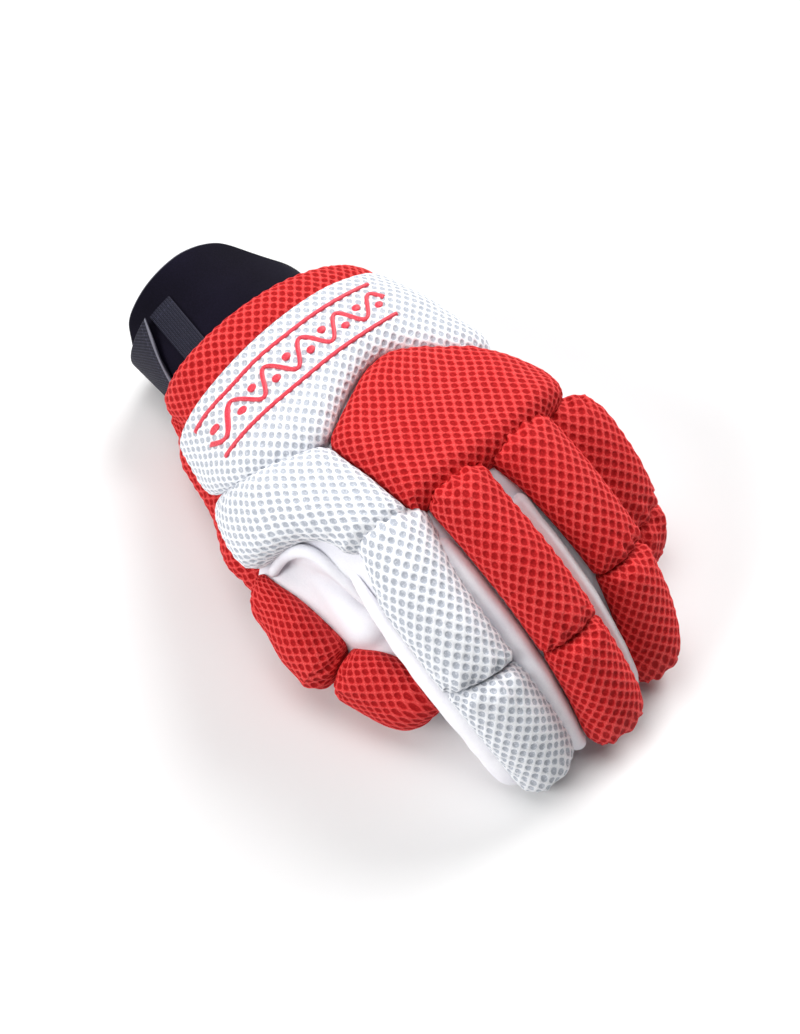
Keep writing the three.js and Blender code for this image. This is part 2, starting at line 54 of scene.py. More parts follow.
# Fingers: place of the first joint, yaw and pitch at root and tip, length, radii, turn of the pads. The last
# three fill out the base of the thumb in the inner glove, and carry no pads.
fingers = dict(
    index=dict(at=(42, -42, 57), yaw=(-14, 16), pitch=(-8, -63), length=82, wide=13.5, slim=11.5, roll=-6),
    middle=dict(at=(45, -14.5, 61.5), yaw=(-1, 4), pitch=(-8, -63), length=84, wide=13.5, slim=11.5, roll=0),
    ring=dict(at=(43, 12.5, 59), yaw=(1, 1), pitch=(-12, -66), length=78, wide=13.5, slim=11.5, roll=0),
    little=dict(at=(37.5, 36.5, 50), yaw=(2, 2), pitch=(-16, -76), length=49, wide=12, slim=10.5, roll=10),
    thumb=dict(at=(14, -63, 30), yaw=(14, 14), pitch=(-7, -18), length=56, wide=13, slim=11.5, roll=-78),
    thumbRoot=dict(at=(-28, -36, 36), yaw=(-35, -35), pitch=(-9, -9), length=48, wide=12, slim=12, roll=0),
    thumbWeb=dict(at=(-4, -51, 42), yaw=(-6, -6), pitch=(-6, -14), length=52, wide=12, slim=10, roll=0),
    thumbSide=dict(at=(5, -57, 36.5), yaw=(4, 4), pitch=(-8, -16), length=50, wide=12.5, slim=10.5, roll=0),
)


def ease(table, key, value):
    # Reads every column of a table at any value of its key column, with a cubic curve between the rows
    # whose slope at each row is that from the row before to the row after.
    keys = np.array(table[key], float)
    last = len(keys) - 1
    at = np.clip(value, keys[0], keys[-1])
    i = np.clip(np.searchsorted(keys, at) - 1, 0, last - 1)
    rows = np.arange(last + 1)
    after, before = np.minimum(rows + 1, last), np.maximum(rows - 1, 0)
    span = keys[i + 1] - keys[i]
    t = (at - keys[i]) / span
    found = {}
    for column, numbers in table.items():
        y = np.array(numbers, float)
        slope = (y[after] - y[before]) / (keys[after] - keys[before])
        found[column] = ((1 + 2 * t) * (1 - t) ** 2 * y[i] + t * (1 - t) ** 2 * span * slope[i]
                         + t * t * (3 - 2 * t) * y[i + 1] + t * t * (t - 1) * span * slope[i + 1])
    return found


def handSection(x):
    # An oval of four arcs: a wide one over the back and under the palm, and a tight one on each side.
    row = ease(hand, "x", x)
    rise, half, side = row["thick"] / 2, row["half"], row["side"]
    wide = ((half - side) ** 2 + rise ** 2 - side ** 2) / (2 * (rise - side))
    turn = np.arcsin((half - side) / (wide - side))
    crown, flank = wide * turn, side * (pi - 2 * turn)
    return dict(mid=row["mid"], middleZ=row["top"] - rise, rise=rise, side=side, wide=wide, turn=turn,
                crown=crown, flank=flank, halfGirth=2 * crown + flank)


def handPoint(x, w, h):
    # The point at x along the hand, w round it from the middle of the back, and h above its surface.
    x, w, h = np.broadcast_arrays(np.asarray(x, float), w, h)
    c = handSection(x)
    away = np.abs(w)
    onCrown, onFlank = away < c["crown"], away < c["crown"] + c["flank"]
    angle = np.where(onCrown, away / c["wide"],
                     np.where(onFlank, c["turn"] + (away - c["crown"]) / c["side"],
                              pi - c["turn"] + (away - c["crown"] - c["flank"]) / c["wide"]))
    flank = onFlank & ~onCrown
    radius = np.where(flank, c["side"], c["wide"]) + h
    out = np.where(flank, (c["wide"] - c["side"]) * np.sin(c["turn"]), 0) + radius * np.sin(angle)
    up = np.where(flank, 0, np.where(onCrown, c["rise"] - c["wide"], c["wide"] - c["rise"]))
    up = up + radius * np.cos(angle)
    return np.stack([x, c["mid"] + np.sign(w) * out, c["middleZ"] + up], -1)


def fingerPoint(name, s, w, h):
    # The point at s along a finger, w round it from the middle of its pads, and h above its skin. The
    # middle line adds up short steps whose yaw and pitch change evenly, and a half ball closes each end.
    f = fingers[name]
    s, w, h = np.broadcast_arrays(np.asarray(s, float), w, h)
    joints = np.linspace(0, 1, 81)
    yaw, pitch = (np.radians(k[0] + (k[1] - k[0]) * joints) for k in (f["yaw"], f["pitch"]))
    ways = np.stack([np.cos(pitch) * np.cos(yaw), np.cos(pitch) * np.sin(yaw), np.sin(pitch)], -1)
    steps = (ways[1:] + ways[:-1]) / 2 * f["length"] / 80
    line = np.array(f["at"]) + np.vstack([np.zeros(3), np.cumsum(steps, 0)])
    along = np.clip(s, 0, f["length"])
    share = along / f["length"]
    middle = np.stack([np.interp(share, joints, line[:, k]) for k in range(3)], -1)
    yaw, pitch = np.interp(share, joints, yaw), np.interp(share, joints, pitch)
    side = np.stack([-np.sin(yaw), np.cos(yaw), 0 * yaw], -1)
    tangent = np.stack([np.cos(pitch) * np.cos(yaw), np.cos(pitch) * np.sin(yaw), np.sin(pitch)], -1)
    top = np.cross(tangent, side)
    radius = f["wide"] + (f["slim"] - f["wide"]) * share
    turn = w / radius + radians(f["roll"])
    lean = np.clip((s - along) / radius, -pi / 2, pi / 2)
    reach = (radius + h)[..., None]
    ringed = np.cos(turn)[..., None] * top + np.sin(turn)[..., None] * side
    return middle + reach * (np.cos(lean)[..., None] * ringed + np.sin(lean)[..., None] * tangent)


def lumps(points, wavelength, seed):
    # A smooth unevenness, mostly between -1 and 1: 1.6 times the mean of eight waves with random
    # directions and phases.
    rng = np.random.default_rng(seed)
    ways = rng.normal(size=(8, points.shape[-1]))
    ways *= 2 * pi / wavelength / np.linalg.norm(ways, axis=1, keepdims=True)
    return np.sin(points @ ways.T + rng.uniform(0, 2 * pi, 8)).mean(-1) * 1.6


def smoothstep(low, high, value):
    t = np.clip((value - low) / (high - low), 0, 1)
    return t * t * (3 - 2 * t)


def gridFaces(n, m, closedRows=False):
    # The quads of a grid of n rows with m points each.
    i, j = np.meshgrid(np.arange(n - 1), np.arange(m if closedRows else m - 1), indexing="ij")
    a, b = i * m + j, i * m + (j + 1) % m
    return np.stack([a, a + m, b + m, b], -1).reshape(-1, 4)


def gridNormals(p):
    # The normal at each point of a grid is the cross product of the steps along its two directions.
    n = np.cross(np.gradient(p, axis=0), np.gradient(p, axis=1))
    return n / np.maximum(np.linalg.norm(n, axis=-1, keepdims=True), 1e-9)


def closedTube(rings):
    # A closed surface through rings of points, with a pole at each end
    n, m = rings.shape[:2]
    poles = np.stack([rings[0].mean(0), rings[-1].mean(0)])
    points = np.vstack([rings.reshape(-1, 3), poles])
    j = np.arange(m)
    first = np.stack([np.full(m, n * m), j, (j + 1) % m], -1)
    last = np.stack([np.full(m, n * m + 1), (n - 1) * m + (j + 1) % m, (n - 1) * m + j], -1)
    return points, gridFaces(n, m, closedRows=True), np.vstack([first, last])


def joinTubes(tubes):
    # The points and the faces of several closed tubes, as those of one mesh
    points, faces, count = [], [], 0
    for p, quads, ends in tubes:
        points.append(p)
        faces += [quads + count, ends + count]
        count += len(p)
    return np.vstack(points), faces


def unit(ways):
    return ways / np.linalg.norm(ways, axis=-1, keepdims=True)


def lengthAlong(line):
    # The distance along a line at each of its points
    return np.concatenate([[0], np.cumsum(np.linalg.norm(np.diff(line, axis=0), axis=1))])


def pointsAt(line, at):
    # The points at distances along a line
    length = lengthAlong(line)
    return np.stack([np.interp(at, length, line[:, k]) for k in range(line.shape[1])], -1)


def alongLine(line, share):
    # The points at shares of a line's length
    return pointsAt(line, share * lengthAlong(line)[-1])


def newPiece(name, points, faces, uv=None, attributes=None, material=None):
    # Puts points in mm and faces into a mesh, with its place in the mesh and its object at the origin.
    mesh = bpy.data.meshes.new(name)
    placed = (np.asarray(points, float).reshape(-1, 3) - [centre[0], centre[1], 0]) * mm
    mesh.from_pydata(placed.tolist(), [], [f for block in faces for f in np.asarray(block).tolist()])
    if uv is not None:
        corners = np.zeros(len(mesh.loops), np.int32)
        mesh.loops.foreach_get("vertex_index", corners)
        layer = mesh.uv_layers.new(name="surface")
        layer.data.foreach_set("uv", np.asarray(uv, np.float32).reshape(-1, 2)[corners].ravel())
    for key, values in (attributes or {}).items():
        attribute = mesh.attributes.new(key, "FLOAT", "POINT")
        attribute.data.foreach_set("value", np.ravel(values).astype(np.float32))
    mesh.polygons.foreach_set("use_smooth", np.ones(len(mesh.polygons), bool))
    mesh.update()
    piece = bpy.data.objects.new(name, mesh)
    bpy.context.scene.collection.objects.link(piece)
    if material is not None:
        mesh.materials.append(material)
    return piece


def bake(piece):
    # Replaces a piece's mesh by what its modifiers make of it
    graph = bpy.context.evaluated_depsgraph_get()
    mesh = bpy.data.meshes.new_from_object(piece.evaluated_get(graph), depsgraph=graph)
    piece.modifiers.clear()
    piece.data = mesh


def pointsOf(piece):
    p = np.zeros(len(piece.data.vertices) * 3, np.float32)
    piece.data.vertices.foreach_get("co", p)
    return p.reshape(-1, 3).astype(float)


class Wire:
    # A shader socket that reads as a number in Python expressions, and adds the Math nodes they need.
    def __init__(self, tree, socket):
        self.tree, self.socket = tree, socket

    def node(self, kind, settings=None, inputs=None, output=0):
        made = self.tree.nodes.new(kind)
        for key, value in (settings or {}).items():
            setattr(made, key, value)
        for key, value in (inputs or {}).items():
            if isinstance(value, Wire):
                self.tree.links.new(value.socket, made.inputs[key])
            else:
                made.inputs[key].default_value = value
        return Wire(self.tree, made.outputs[output])

    def math(self, operation, *others, clamp=False):
        inputs = dict(enumerate([self, *others]))
        return self.node("ShaderNodeMath", dict(operation=operation, use_clamp=clamp), inputs)

    def __add__(self, other):
        return self.math("ADD", other)

    def __sub__(self, other):
        return self.math("SUBTRACT", other)

    def __mul__(self, other):
        return self.math("MULTIPLY", other)

    def __truediv__(self, other):
        return self.math("DIVIDE", other)

    def __pow__(self, other):
        return self.math("POWER", other)

    def __rsub__(self, other):
        return self.node("ShaderNodeMath", dict(operation="SUBTRACT"), {0: other, 1: self})

    __radd__, __rmul__ = __add__, __mul__

    def clamped(self):
        return self.math("ADD", 0.0, clamp=True)

    def step(self, low, high):
        # 0 below low and 1 above high, eased between them; with low above high it falls instead
        return self.node("ShaderNodeMapRange", dict(interpolation_type="SMOOTHSTEP"),
                         {0: self, 1: low, 2: high, 3: 0.0, 4: 1.0})

    def noise(self, scale, detail=2.0, rough=0.5):
        return self.node("ShaderNodeTexNoise", {}, {"Vector": self, "Scale": scale, "Detail": detail,
                                                   "Roughness": rough})

    def mix(self, first, second):
        # a colour between two colours, with this socket as the factor
        return self.node("ShaderNodeMix", dict(data_type="RGBA"), {0: self, 6: first, 7: second}, output=2)

    def bump(self, strength, distance):
        return self.node("ShaderNodeBump", {}, {"Height": self, "Strength": strength, "Distance": distance})

    def onObject(self):
        # the place on the object
        return self.node("ShaderNodeTexCoord", output=3)

    def onSurface(self):
        # the two places that the piece's own UV map gives
        place = self.node("ShaderNodeUVMap", dict(uv_map="surface"))
        return [self.node("ShaderNodeSeparateXYZ", {}, {0: place}, k) for k in (0, 1)]

    def cutEdge(self):
        # 1 where cloth shows its cut edge
        return self.node("ShaderNodeAttribute", dict(attribute_name="edge"), output=2)


def newMaterial(name, build, **fixed):
    # A material whose Principled shader has fixed values, and sockets that build(wire) links.
    material = bpy.data.materials.new(name)
    material.use_nodes = True
    tree = material.node_tree
    shader = tree.nodes["Principled BSDF"]
    for key, value in fixed.items():
        shader.inputs[key.replace("_", " ")].default_value = value
    for key, wire in build(Wire(tree, None)).items():
        tree.links.new(wire.socket, shader.inputs[key.replace("_", " ")])
    return material


def tone(red, green, blue):
    # An sRGB colour from 0 to 255 as the linear colour that a shader takes
    c = np.array([red, green, blue]) / 255
    return (*np.where(c <= 0.04045, c / 12.92, ((c + 0.055) / 1.055) ** 2.4).tolist(), 1.0)


# The open knitted mesh: square cells with rounded holes between round cords. A hole takes these shares
# of half a cell, its corners have this exponent, and its wall runs from inner to outer.
weave = dict(holeA=0.335, holeB=0.35, round=2.3, inner=0.7, outer=1.3, depth=0.42)


def holeMask(a, b):
    # 1 in the holes and 0 on top of the cords, for places a and b counted in cells, where the distance from
    # a hole's middle is (across^round + along^round)^(1 / round)
    across, along = np.abs(a % 1 - 0.5) / weave["holeA"], np.abs(b % 1 - 0.5) / weave["holeB"]
    r = (across ** weave["round"] + along ** weave["round"]) ** (1 / weave["round"])
    return 1 - smoothstep(weave["inner"], weave["outer"], r)


def meshFabric(name, cord, paleYarnAndHighlight, shadedUnderlayer, speck, sheen):
    # Knitted cords with painted highlight along their crests, on their slanted stitches and where they cross,
    # and random paler yarn; in the holes the layer below, darkened with painted shade, with specks of its
    # yarn
    def build(wire):
        a, b = wire.onSurface()
        place = wire.onObject()
        fibre, patch, drift = place.noise(2800.0, 3.0, 0.65), place.noise(1500.0), place.noise(55.0)
        wander = (place.noise(900.0) - 0.5) * 0.16
        cellA, cellB = (a + wander).math("FRACT") - 0.5, (b - wander).math("FRACT") - 0.5
        across = cellA.math("ABSOLUTE") / weave["holeA"]
        along = cellB.math("ABSOLUTE") / weave["holeB"]
        r = (across ** weave["round"] + along ** weave["round"]) ** (1 / weave["round"])
        open_ = r.step(1.16, 0.94)
        # the layer below in the holes, darkened with painted shade, with random specks of its yarn
        depths = (patch.step(0.5, 0.66) * 0.6 + (fibre - 0.5) * 0.9 + 0.05).clamped().mix(shadedUnderlayer, speck)
        # loops of yarn: short slanted stitches along the cords, and a spot at each crossing, both lit with
        # painted highlight (the loops also make bumps)
        slants = [(way.math("FRACT") - 0.5).math("ABSOLUTE") for way in (a * 3 + b, b * 3 - a)]
        loops = slants[0] * slants[1]
        crossingHighlight = cellA.math("ABSOLUTE").step(0.36, 0.48) * cellB.math("ABSOLUTE").step(0.36, 0.48)
        # painted highlight along each cord's crest; lit sums the painted highlights and random paler yarn
        # from the fibre and drift noise
        crestHighlight = r.step(1.14, 1.36)
        lit = crestHighlight * 0.5 + crossingHighlight * 0.25 + loops * 2.0 + (fibre - 0.5) * 1.3 + (drift - 0.5) * 0.4 - 0.1
        cords = lit.clamped().mix(cord, paleYarnAndHighlight)
        relief = loops * 1.2 * (1 - open_) + fibre * 0.5
        return dict(Base_Color=open_.mix(cords, depths), Normal=relief.bump(0.6, 0.0006))
    return newMaterial(name, build, Roughness=0.75, Sheen_Weight=sheen, Sheen_Roughness=0.4,
                       Specular_IOR_Level=0.18)


# cord, painted highlight with paler yarn, hole with painted shade, and speck tones of each mesh
redMesh = meshFabric("red mesh", tone(201, 34, 36), tone(235, 86, 83), tone(158, 8, 12),
                     tone(194, 31, 33), 0.0)
whiteMesh = meshFabric("white mesh", tone(228, 230, 235), tone(245, 246, 248), tone(172, 177, 187),
                       tone(222, 225, 231), 0.08)


def stretchFabric(name, colour, shade):
    # Smooth knit: fine fibres with soft cloudiness, and shallow creases
    def build(wire):
        place = wire.onObject()
        fibre, cloud, crease = place.noise(1800.0, 3.0, 0.6), place.noise(45.0, 3.0), place.noise(160.0)
        mixed = (fibre * 0.35 + cloud * 0.65).step(0.3, 0.7).mix(shade, colour)
        return dict(Base_Color=mixed, Normal=(fibre * 0.5 + crease * 0.5).bump(0.3, 0.0004))
    return newMaterial(name, build, Roughness=0.62, Sheen_Weight=0.15, Sheen_Roughness=0.5,
                       Specular_IOR_Level=0.3)


liningCloth = stretchFabric("white stretch cloth", tone(241, 241, 245), tone(229, 228, 236))
# The piping's cloth is the lining's white painted brighter: painted light on rolls that sit in shade between
# the fingers.
weltClothPaintedBright = stretchFabric("white stretch cloth painted bright", tone(250, 250, 252), tone(237, 235, 243))


def satinThread(name, colour, light):
    def build(wire):
        fibre = wire.onObject().noise(2400.0)
        return dict(Base_Color=fibre.step(0.35, 0.65).mix(colour, light), Normal=fibre.bump(0.2, 0.0003))
    return newMaterial(name, build, Roughness=0.42, Sheen_Weight=0.2, Specular_IOR_Level=0.45)


redThread = satinThread("red satin thread", tone(206, 34, 54), tone(232, 70, 88))


def outlineLoop(corners, radius, inset):
    # A polygon given counter-clockwise, with each corner replaced by a curve that starts and ends a
    # radius from it. Returns the points of the loop, moved inwards, and the index of each curve's middle.
    corners = np.array(corners, float)
    radius = np.broadcast_to(np.reshape(radius, (-1, 1)), (len(corners), 1))
    before, after = np.roll(corners, 1, 0), np.roll(corners, -1, 0)
    toBefore = np.linalg.norm(before - corners, axis=1, keepdims=True)
    toAfter = np.linalg.norm(after - corners, axis=1, keepdims=True)
    enter = corners + (before - corners) / toBefore * np.minimum(radius, toBefore / 2)
    leave = corners + (after - corners) / toAfter * np.minimum(radius, toAfter / 2)
    t = np.linspace(0, 1, 7)[None, :, None]
    curve = ((1 - t) ** 2 * enter[:, None] + 2 * t * (1 - t) * corners[:, None] + t * t * leave[:, None])
    loop = curve.reshape(-1, 2)
    along = unit(np.roll(loop, -1, 0) - np.roll(loop, 1, 0))
    loop = loop + inset * np.stack([-along[:, 1], along[:, 0]], -1)
    return loop, np.arange(len(corners)) * len(t[0]) + len(t[0]) // 2


def ruled(sides, u, v):
    # Between four sides: the two ruled surfaces added, less the flat one through the corners
    front, back = alongLine(sides[0], u), alongLine(sides[2][::-1], u)
    left, right = alongLine(sides[3][::-1], v), alongLine(sides[1], v)
    uu, vv = u[:, None, None], v[None, :, None]
    return ((1 - vv) * front[:, None] + vv * back[:, None] + (1 - uu) * left[None] + uu * right[None]
            - (1 - uu) * (1 - vv) * front[0] - uu * (1 - vv) * front[-1]
            - (1 - uu) * vv * back[0] - uu * vv * back[-1])


def relax(grid, rounds):
    # Moves each inner point of a flat grid to where its lines cross evenly and squarely: the mean of its
    # neighbours, weighted by how close together the lines of the other direction are.
    g = grid.copy()
    for k in range(rounds):
        gu, gv = (g[2:, 1:-1] - g[:-2, 1:-1]) / 2, (g[1:-1, 2:] - g[1:-1, :-2]) / 2
        twist = (g[2:, 2:] - g[2:, :-2] - g[:-2, 2:] + g[:-2, :-2]) / 4
        a, b, c = (gv * gv).sum(-1), (gu * gv).sum(-1), (gu * gu).sum(-1)
        if k < rounds // 3:
            a, b, c = np.ones_like(a), np.zeros_like(b), np.ones_like(c)
        a, b, c = a[..., None], b[..., None], c[..., None]
        g[1:-1, 1:-1] = (a * (g[2:, 1:-1] + g[:-2, 1:-1]) + c * (g[1:-1, 2:] + g[1:-1, :-2])
                         - 2 * b * twist) / (2 * (a + c) + 1e-9)
    return g


def resample(field, u, v):
    # A coarse grid's values read between its points, first along one direction and then the other
    n, m = field.shape[:2]
    iu, iv = u * (n - 1), v * (m - 1)
    a, b = np.clip(iu.astype(int), 0, n - 2), np.clip(iv.astype(int), 0, m - 2)
    tu, tv = (iu - a)[:, None, None], (iv - b)[None, :, None]
    rows = field[a] * (1 - tu) + field[a + 1] * tu
    return rows[:, b] * (1 - tv) + rows[:, b + 1] * tv


def evenShares(width, shoulder, rise, stretch):
    # Places across a pad, from 0 to 1, that are evenly spaced along its rounded profile.
    d = np.linspace(0, width / 2, 600)
    up = rise * np.sqrt(1 - (1 - np.minimum(d / shoulder, 1)) ** 2)
    length = np.concatenate([[0], np.cumsum(np.hypot(np.diff(d) * stretch, np.diff(up)))])
    count = int(np.ceil(length[-1] / step))
    half = np.interp(np.linspace(0, 1, count + 1), length / length[-1], d / width)
    return np.concatenate([half, 1 - half[-2::-1]])


def nearestOnLine(points, line):
    # For each point, the distance to a line, the place along it of the nearest point, and the direction
    # to it
    start, edge = line[:-1], np.diff(line, axis=0)
    size = np.linalg.norm(edge, axis=1)
    before = np.concatenate([[0], np.cumsum(size)[:-1]])
    flat = points.reshape(-1, 2)
    distance, place, way = np.zeros(len(flat)), np.zeros(len(flat)), np.zeros((len(flat), 2))
    for k in range(0, len(flat), 8000):  # in blocks, to hold less in memory
        away = flat[k:k + 8000, None] - start
        t = np.clip((away * edge).sum(-1) / (size ** 2 + 1e-12), 0, 1)
        offset = t[..., None] * edge - away
        gap = np.linalg.norm(offset, axis=-1)
        near, rows = gap.argmin(1), np.arange(len(gap))
        distance[k:k + 8000] = gap[rows, near]
        place[k:k + 8000] = before[near] + t[rows, near] * size[near]
        way[k:k + 8000] = offset[rows, near] / (gap[rows, near, None] + 1e-6)
    shape = points.shape[:-1]
    return distance.reshape(shape), place.reshape(shape), way.reshape(*shape, 2)


# How every pad looks, with lengths in mm: inset of its seams, powers for how round its edges are and how
# sharply they meet, height and size of its lumps and of its gathers, sway of the gathers, drift of the weave,
# a usual rim and shoulder that the grid is spaced for, and height of the base over the skin.
padLook = dict(seam=0.12, power=2.15, blend=3.0, lump=0.5, lumpSize=24, pucker=0.38, puckerSize=4.6,
               sway=2.5, swaySize=18, drift=0.3, driftSize=15, rim=3, shoulder=9, base=0.25)


def padHeight(pad, depths):
    # Each side takes (height - rim) (1 - (1 - (1 - t)^power)^(1 / power)) off the full height, where t is
    # the depth from that side in its shoulders, and the four are blended so that the largest one counts.
    power, missing = padLook["power"], 0
    for (rim, shoulder), depth in zip(pad["edges"], depths):
        t = np.clip(depth / shoulder, 0, 1)
        rise = (1 - (1 - t) ** power) ** (1 / power)
        missing = missing + ((pad["height"] - rim) * (1 - rise)) ** padLook["blend"]
    return pad["height"] - missing ** (1 / padLook["blend"])


def spareCloth(pad, edge, depth):
    # How much longer the cover is than its plan, from a place on a rounded edge up to its shoulder
    rim, shoulder = edge
    d = np.linspace(0, shoulder, 300)
    t, power = d / shoulder, padLook["power"]
    height = (pad["height"] - rim) * (1 - (1 - t) ** power) ** (1 / power)
    extra = np.hypot(np.diff(d), np.diff(height)) - np.diff(d)
    left = np.concatenate([[0], np.cumsum(extra)])
    return left[-1] - np.interp(depth, d, left)


def handWeave(x, w, h):
    # Lengths along and round the hand at height h, where the weave lies
    c = handSection(x)
    away = np.abs(w)
    crown = np.minimum(away, c["crown"])
    around = crown * (1 + h / c["wide"]) + (away - crown) * (1 + h / c["side"])
    return x * 1.02, np.sign(w) * around


def fingerWeave(name, s, w, h):
    f = fingers[name]
    curl = radians(f["pitch"][0] - f["pitch"][1]) / f["length"]
    radius = f["wide"] + (f["slim"] - f["wide"]) * np.clip(s / f["length"], 0, 1)
    return s * (1 + curl * (radius + h)), w * (1 + h / radius)


def padSides(pad):
    # The rounded outline in four lines between the named corners
    loop, middles = outlineLoop(pad["outline"], pad["corner"], padLook["seam"])
    cuts = [middles[c] for c in pad["corners"]]
    ends = [e if e > c else e + len(loop) for c, e in zip(cuts, cuts[1:] + cuts[:1])]
    thrice = np.vstack([loop, loop, loop])
    return [thrice[c:e + 1] for c, e in zip(cuts, ends)]


def cover(pad, flat):
    # The soft cover over places in a pad's outline: its rounded height, broad lumps, and gathers that
    # run in from the seams and fade out.
    depths, along, ways = (np.stack(k) for k in zip(*[nearestOnLine(flat, s) for s in pad["sides"]]))
    depth, nearest = depths.min(0), depths.argmin(0)[None]
    place = np.take_along_axis(along, nearest, 0)[0]
    axis, places, shares = pad.get("slim", (0, [0, 1], [1, 1]))
    tall = padHeight(pad, depths) * np.interp(flat[..., axis], places, shares)
    smooth = pad["chart"](flat[..., 0], flat[..., 1], tall)
    seed = pad["seed"]
    swell = padLook["lump"] * lumps(smooth, padLook["lumpSize"], seed) * smoothstep(0, 10, depth)
    sway = padLook["sway"] * lumps(smooth, padLook["swaySize"], seed + 50)
    wave = np.sin(2 * pi * place / padLook["puckerSize"] + sway)
    strong = np.take_along_axis(np.array(pad.get("gathers", [1, 1, 1, 1]), float), nearest.ravel(), 0)
    strong = strong.reshape(depth.shape)
    fade = smoothstep(0.3, 2.2, depth) * np.exp(-depth / (2.2 + 1.6 * strong))
    swell += padLook["pucker"] * strong * wave * fade
    return smooth + swell[..., None] * gridNormals(smooth), depths, depth, ways


def makePad(name, pad, material):
    # A closed pad: a top grid that fills the outline, with the weave's holes pressed in, and a base.
    sides, chart, seed = pad["sides"], pad["chart"], pad["seed"]
    even = np.linspace(0, 1, 41)
    coarse = ruled(sides, even, even)
    settled = relax(coarse, 600)
    spans = [np.linalg.norm(np.diff(settled, axis=k), axis=-1).sum(k).max() for k in (0, 1)]
    rise = pad["height"] - padLook["rim"]
    u = evenShares(spans[0], padLook["shoulder"], rise, pad.get("stretchU", 1.05))
    v = evenShares(spans[1], padLook["shoulder"], rise, pad.get("stretchV", 1.3))
    flat = ruled(sides, u, v) + resample(settled - coarse, u, v)
    p, depths, depth, ways = cover(pad, flat)
    # the weave lies flat over the plateau, and runs on down the rounded edges
    alongP, acrossP = pad["weaveChart"](flat[..., 0], flat[..., 1], pad["height"])
    shift = sum(spareCloth(pad, e, d)[..., None] * way for e, d, way in zip(pad["edges"], depths, ways))
    alongP = alongP + shift[..., 0] + padLook["drift"] * lumps(p, padLook["driftSize"], seed + 7)
    acrossP = acrossP + shift[..., 1] + padLook["drift"] * lumps(p, padLook["driftSize"], seed + 8)
    (ax, ay), (bx, by) = pad["weaveA"], pad["weaveB"]
    det = ax * by - ay * bx
    cellA, cellB = (alongP * by - acrossP * bx) / det, (acrossP * ax - alongP * ay) / det
    pressed = weave["depth"] * holeMask(cellA, cellB) * smoothstep(0.0, 0.8, depth)
    p = p - pressed[..., None] * gridNormals(p)
    n, m = len(u), len(v)
    index = np.arange(n * m).reshape(n, m)
    rim = np.concatenate([index[:, 0], index[-1, 1:], index[-2::-1, -1], index[0, -2:0:-1]])
    around = flat.reshape(-1, 2)[rim]
    middle = flat[n // 2, m // 2]
    rings = [middle + share * (around - middle) for share in (1, 0.7, 0.35)]
    base = [chart(r[:, 0], r[:, 1], padLook["base"]) for r in rings]
    pole = chart(middle[0], middle[1], padLook["base"])
    points = np.vstack([p.reshape(-1, 3), *base, pole.reshape(1, 3)])
    count = len(rim)
    loops = [rim] + [n * m + k * count + np.arange(count) for k in range(3)]
    faces = [gridFaces(n, m)]
    for upper, lower in zip(loops, loops[1:]):
        faces.append(np.stack([upper, lower, np.roll(lower, -1), np.roll(upper, -1)], -1))
    fan = np.stack([loops[-1], np.full(count, len(points) - 1), np.roll(loops[-1], -1)], -1)
    uv = np.stack([cellA, cellB], -1).reshape(-1, 2)
    uv = np.vstack([uv, uv[rim], uv[rim], uv[rim], uv[rim].mean(0)[None]])
    piece = newPiece(name + "_cover", points, faces + [fan], uv, material=material)
    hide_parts(name)
    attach(piece, "root")
    return piece


def cutBy(piece, others):
    # Takes away what lies inside pads that are already there, so that each one presses on the next.
    low, high = pointsOf(piece).min(0), pointsOf(piece).max(0)
    for other in others:
        q = pointsOf(other)
        if (q.min(0) > high).any() or (q.max(0) < low).any():
            continue
        cut = piece.modifiers.new("press", "BOOLEAN")
        cut.operation, cut.object, cut.solver = "DIFFERENCE", other, "MANIFOLD"
    if piece.modifiers:
        bake(piece)


def crosswise(rows, slant=0.0, slanted=2, fade=25):
    # The outline of a pad that runs round the hand: its thumb end, front edge, far end and back edge. The
    # thumb end may slant, in full over the slanted mm and then less and less over the fade's.
    w = np.linspace(rows["w"][0], rows["w"][-1], 15)
    edge = ease(rows, "w", w)
    front, back = np.stack([edge["front"], w], -1), np.stack([edge["back"], w], -1)
    outline = np.vstack([front, back[::-1]])
    middle = (front[0, 0] + back[0, 0]) / 2
    share = np.clip((w[0] + slanted + fade - outline[:, 1]) / fade, 0, 1)
    outline[:, 1] -= slant * (outline[:, 0] - middle) * share
    return dict(outline=outline, corners=[len(outline) - 1, 0, len(w) - 1, len(w)])


def lengthwise(rows):
    # The outline of a pad that runs along the hand: its lower edge, front end, upper edge and back end
    x = np.linspace(rows["x"][0], rows["x"][-1], 13)
    edge = ease(rows, "x", x)
    lower, upper = np.stack([x, edge["lower"]], -1), np.stack([x, edge["upper"]], -1)
    outline = np.vstack([lower, upper[::-1]])
    return dict(outline=outline, corners=[0, len(x) - 1, len(x), len(outline) - 1])


# A pad's edges are its rim's height and how far in the shoulder reaches, for each of its four sides. Where it
# is slim, its height takes these shares at these places along its first (0) or its second (1) direction.
wristRoll = dict(
    height=11.5, corner=4, weaveA=(2.35, 2.05), weaveB=(2.35, -2.05),
    edges=[(3, 8), (10, 3), (4, 8), (2.5, 8)],  # thumb end, front, far end, back
    slim=(1, [-52, -46, -40, -30], [0.3, 0.52, 0.8, 1]),
    **crosswise(dict(w=[-51, -45, -25, 0, 34, 50, 56], back=[-67, -69, -69, -67, -63, -60, -58],
                     front=[-50, -50, -50, -50, -49, -48, -50])))
wristPad = dict(
    height=12.5, corner=3, weaveA=(2.4, 2.1), weaveB=(2.4, -2.1),
    edges=[(7, 6), (4.5, 11), (4, 9), (10.5, 3)],
    **crosswise(slant=0.39, rows=dict(w=[-55, -48, -35.5, -17, -8, 8, 21, 32, 48, 59],
                     back=[-49, -50, -50, -50, -50, -50, -50, -49, -48, -46],
                     front=[-27, -21, -9, 1, -4, -12, -13, -7, 8, 6])))
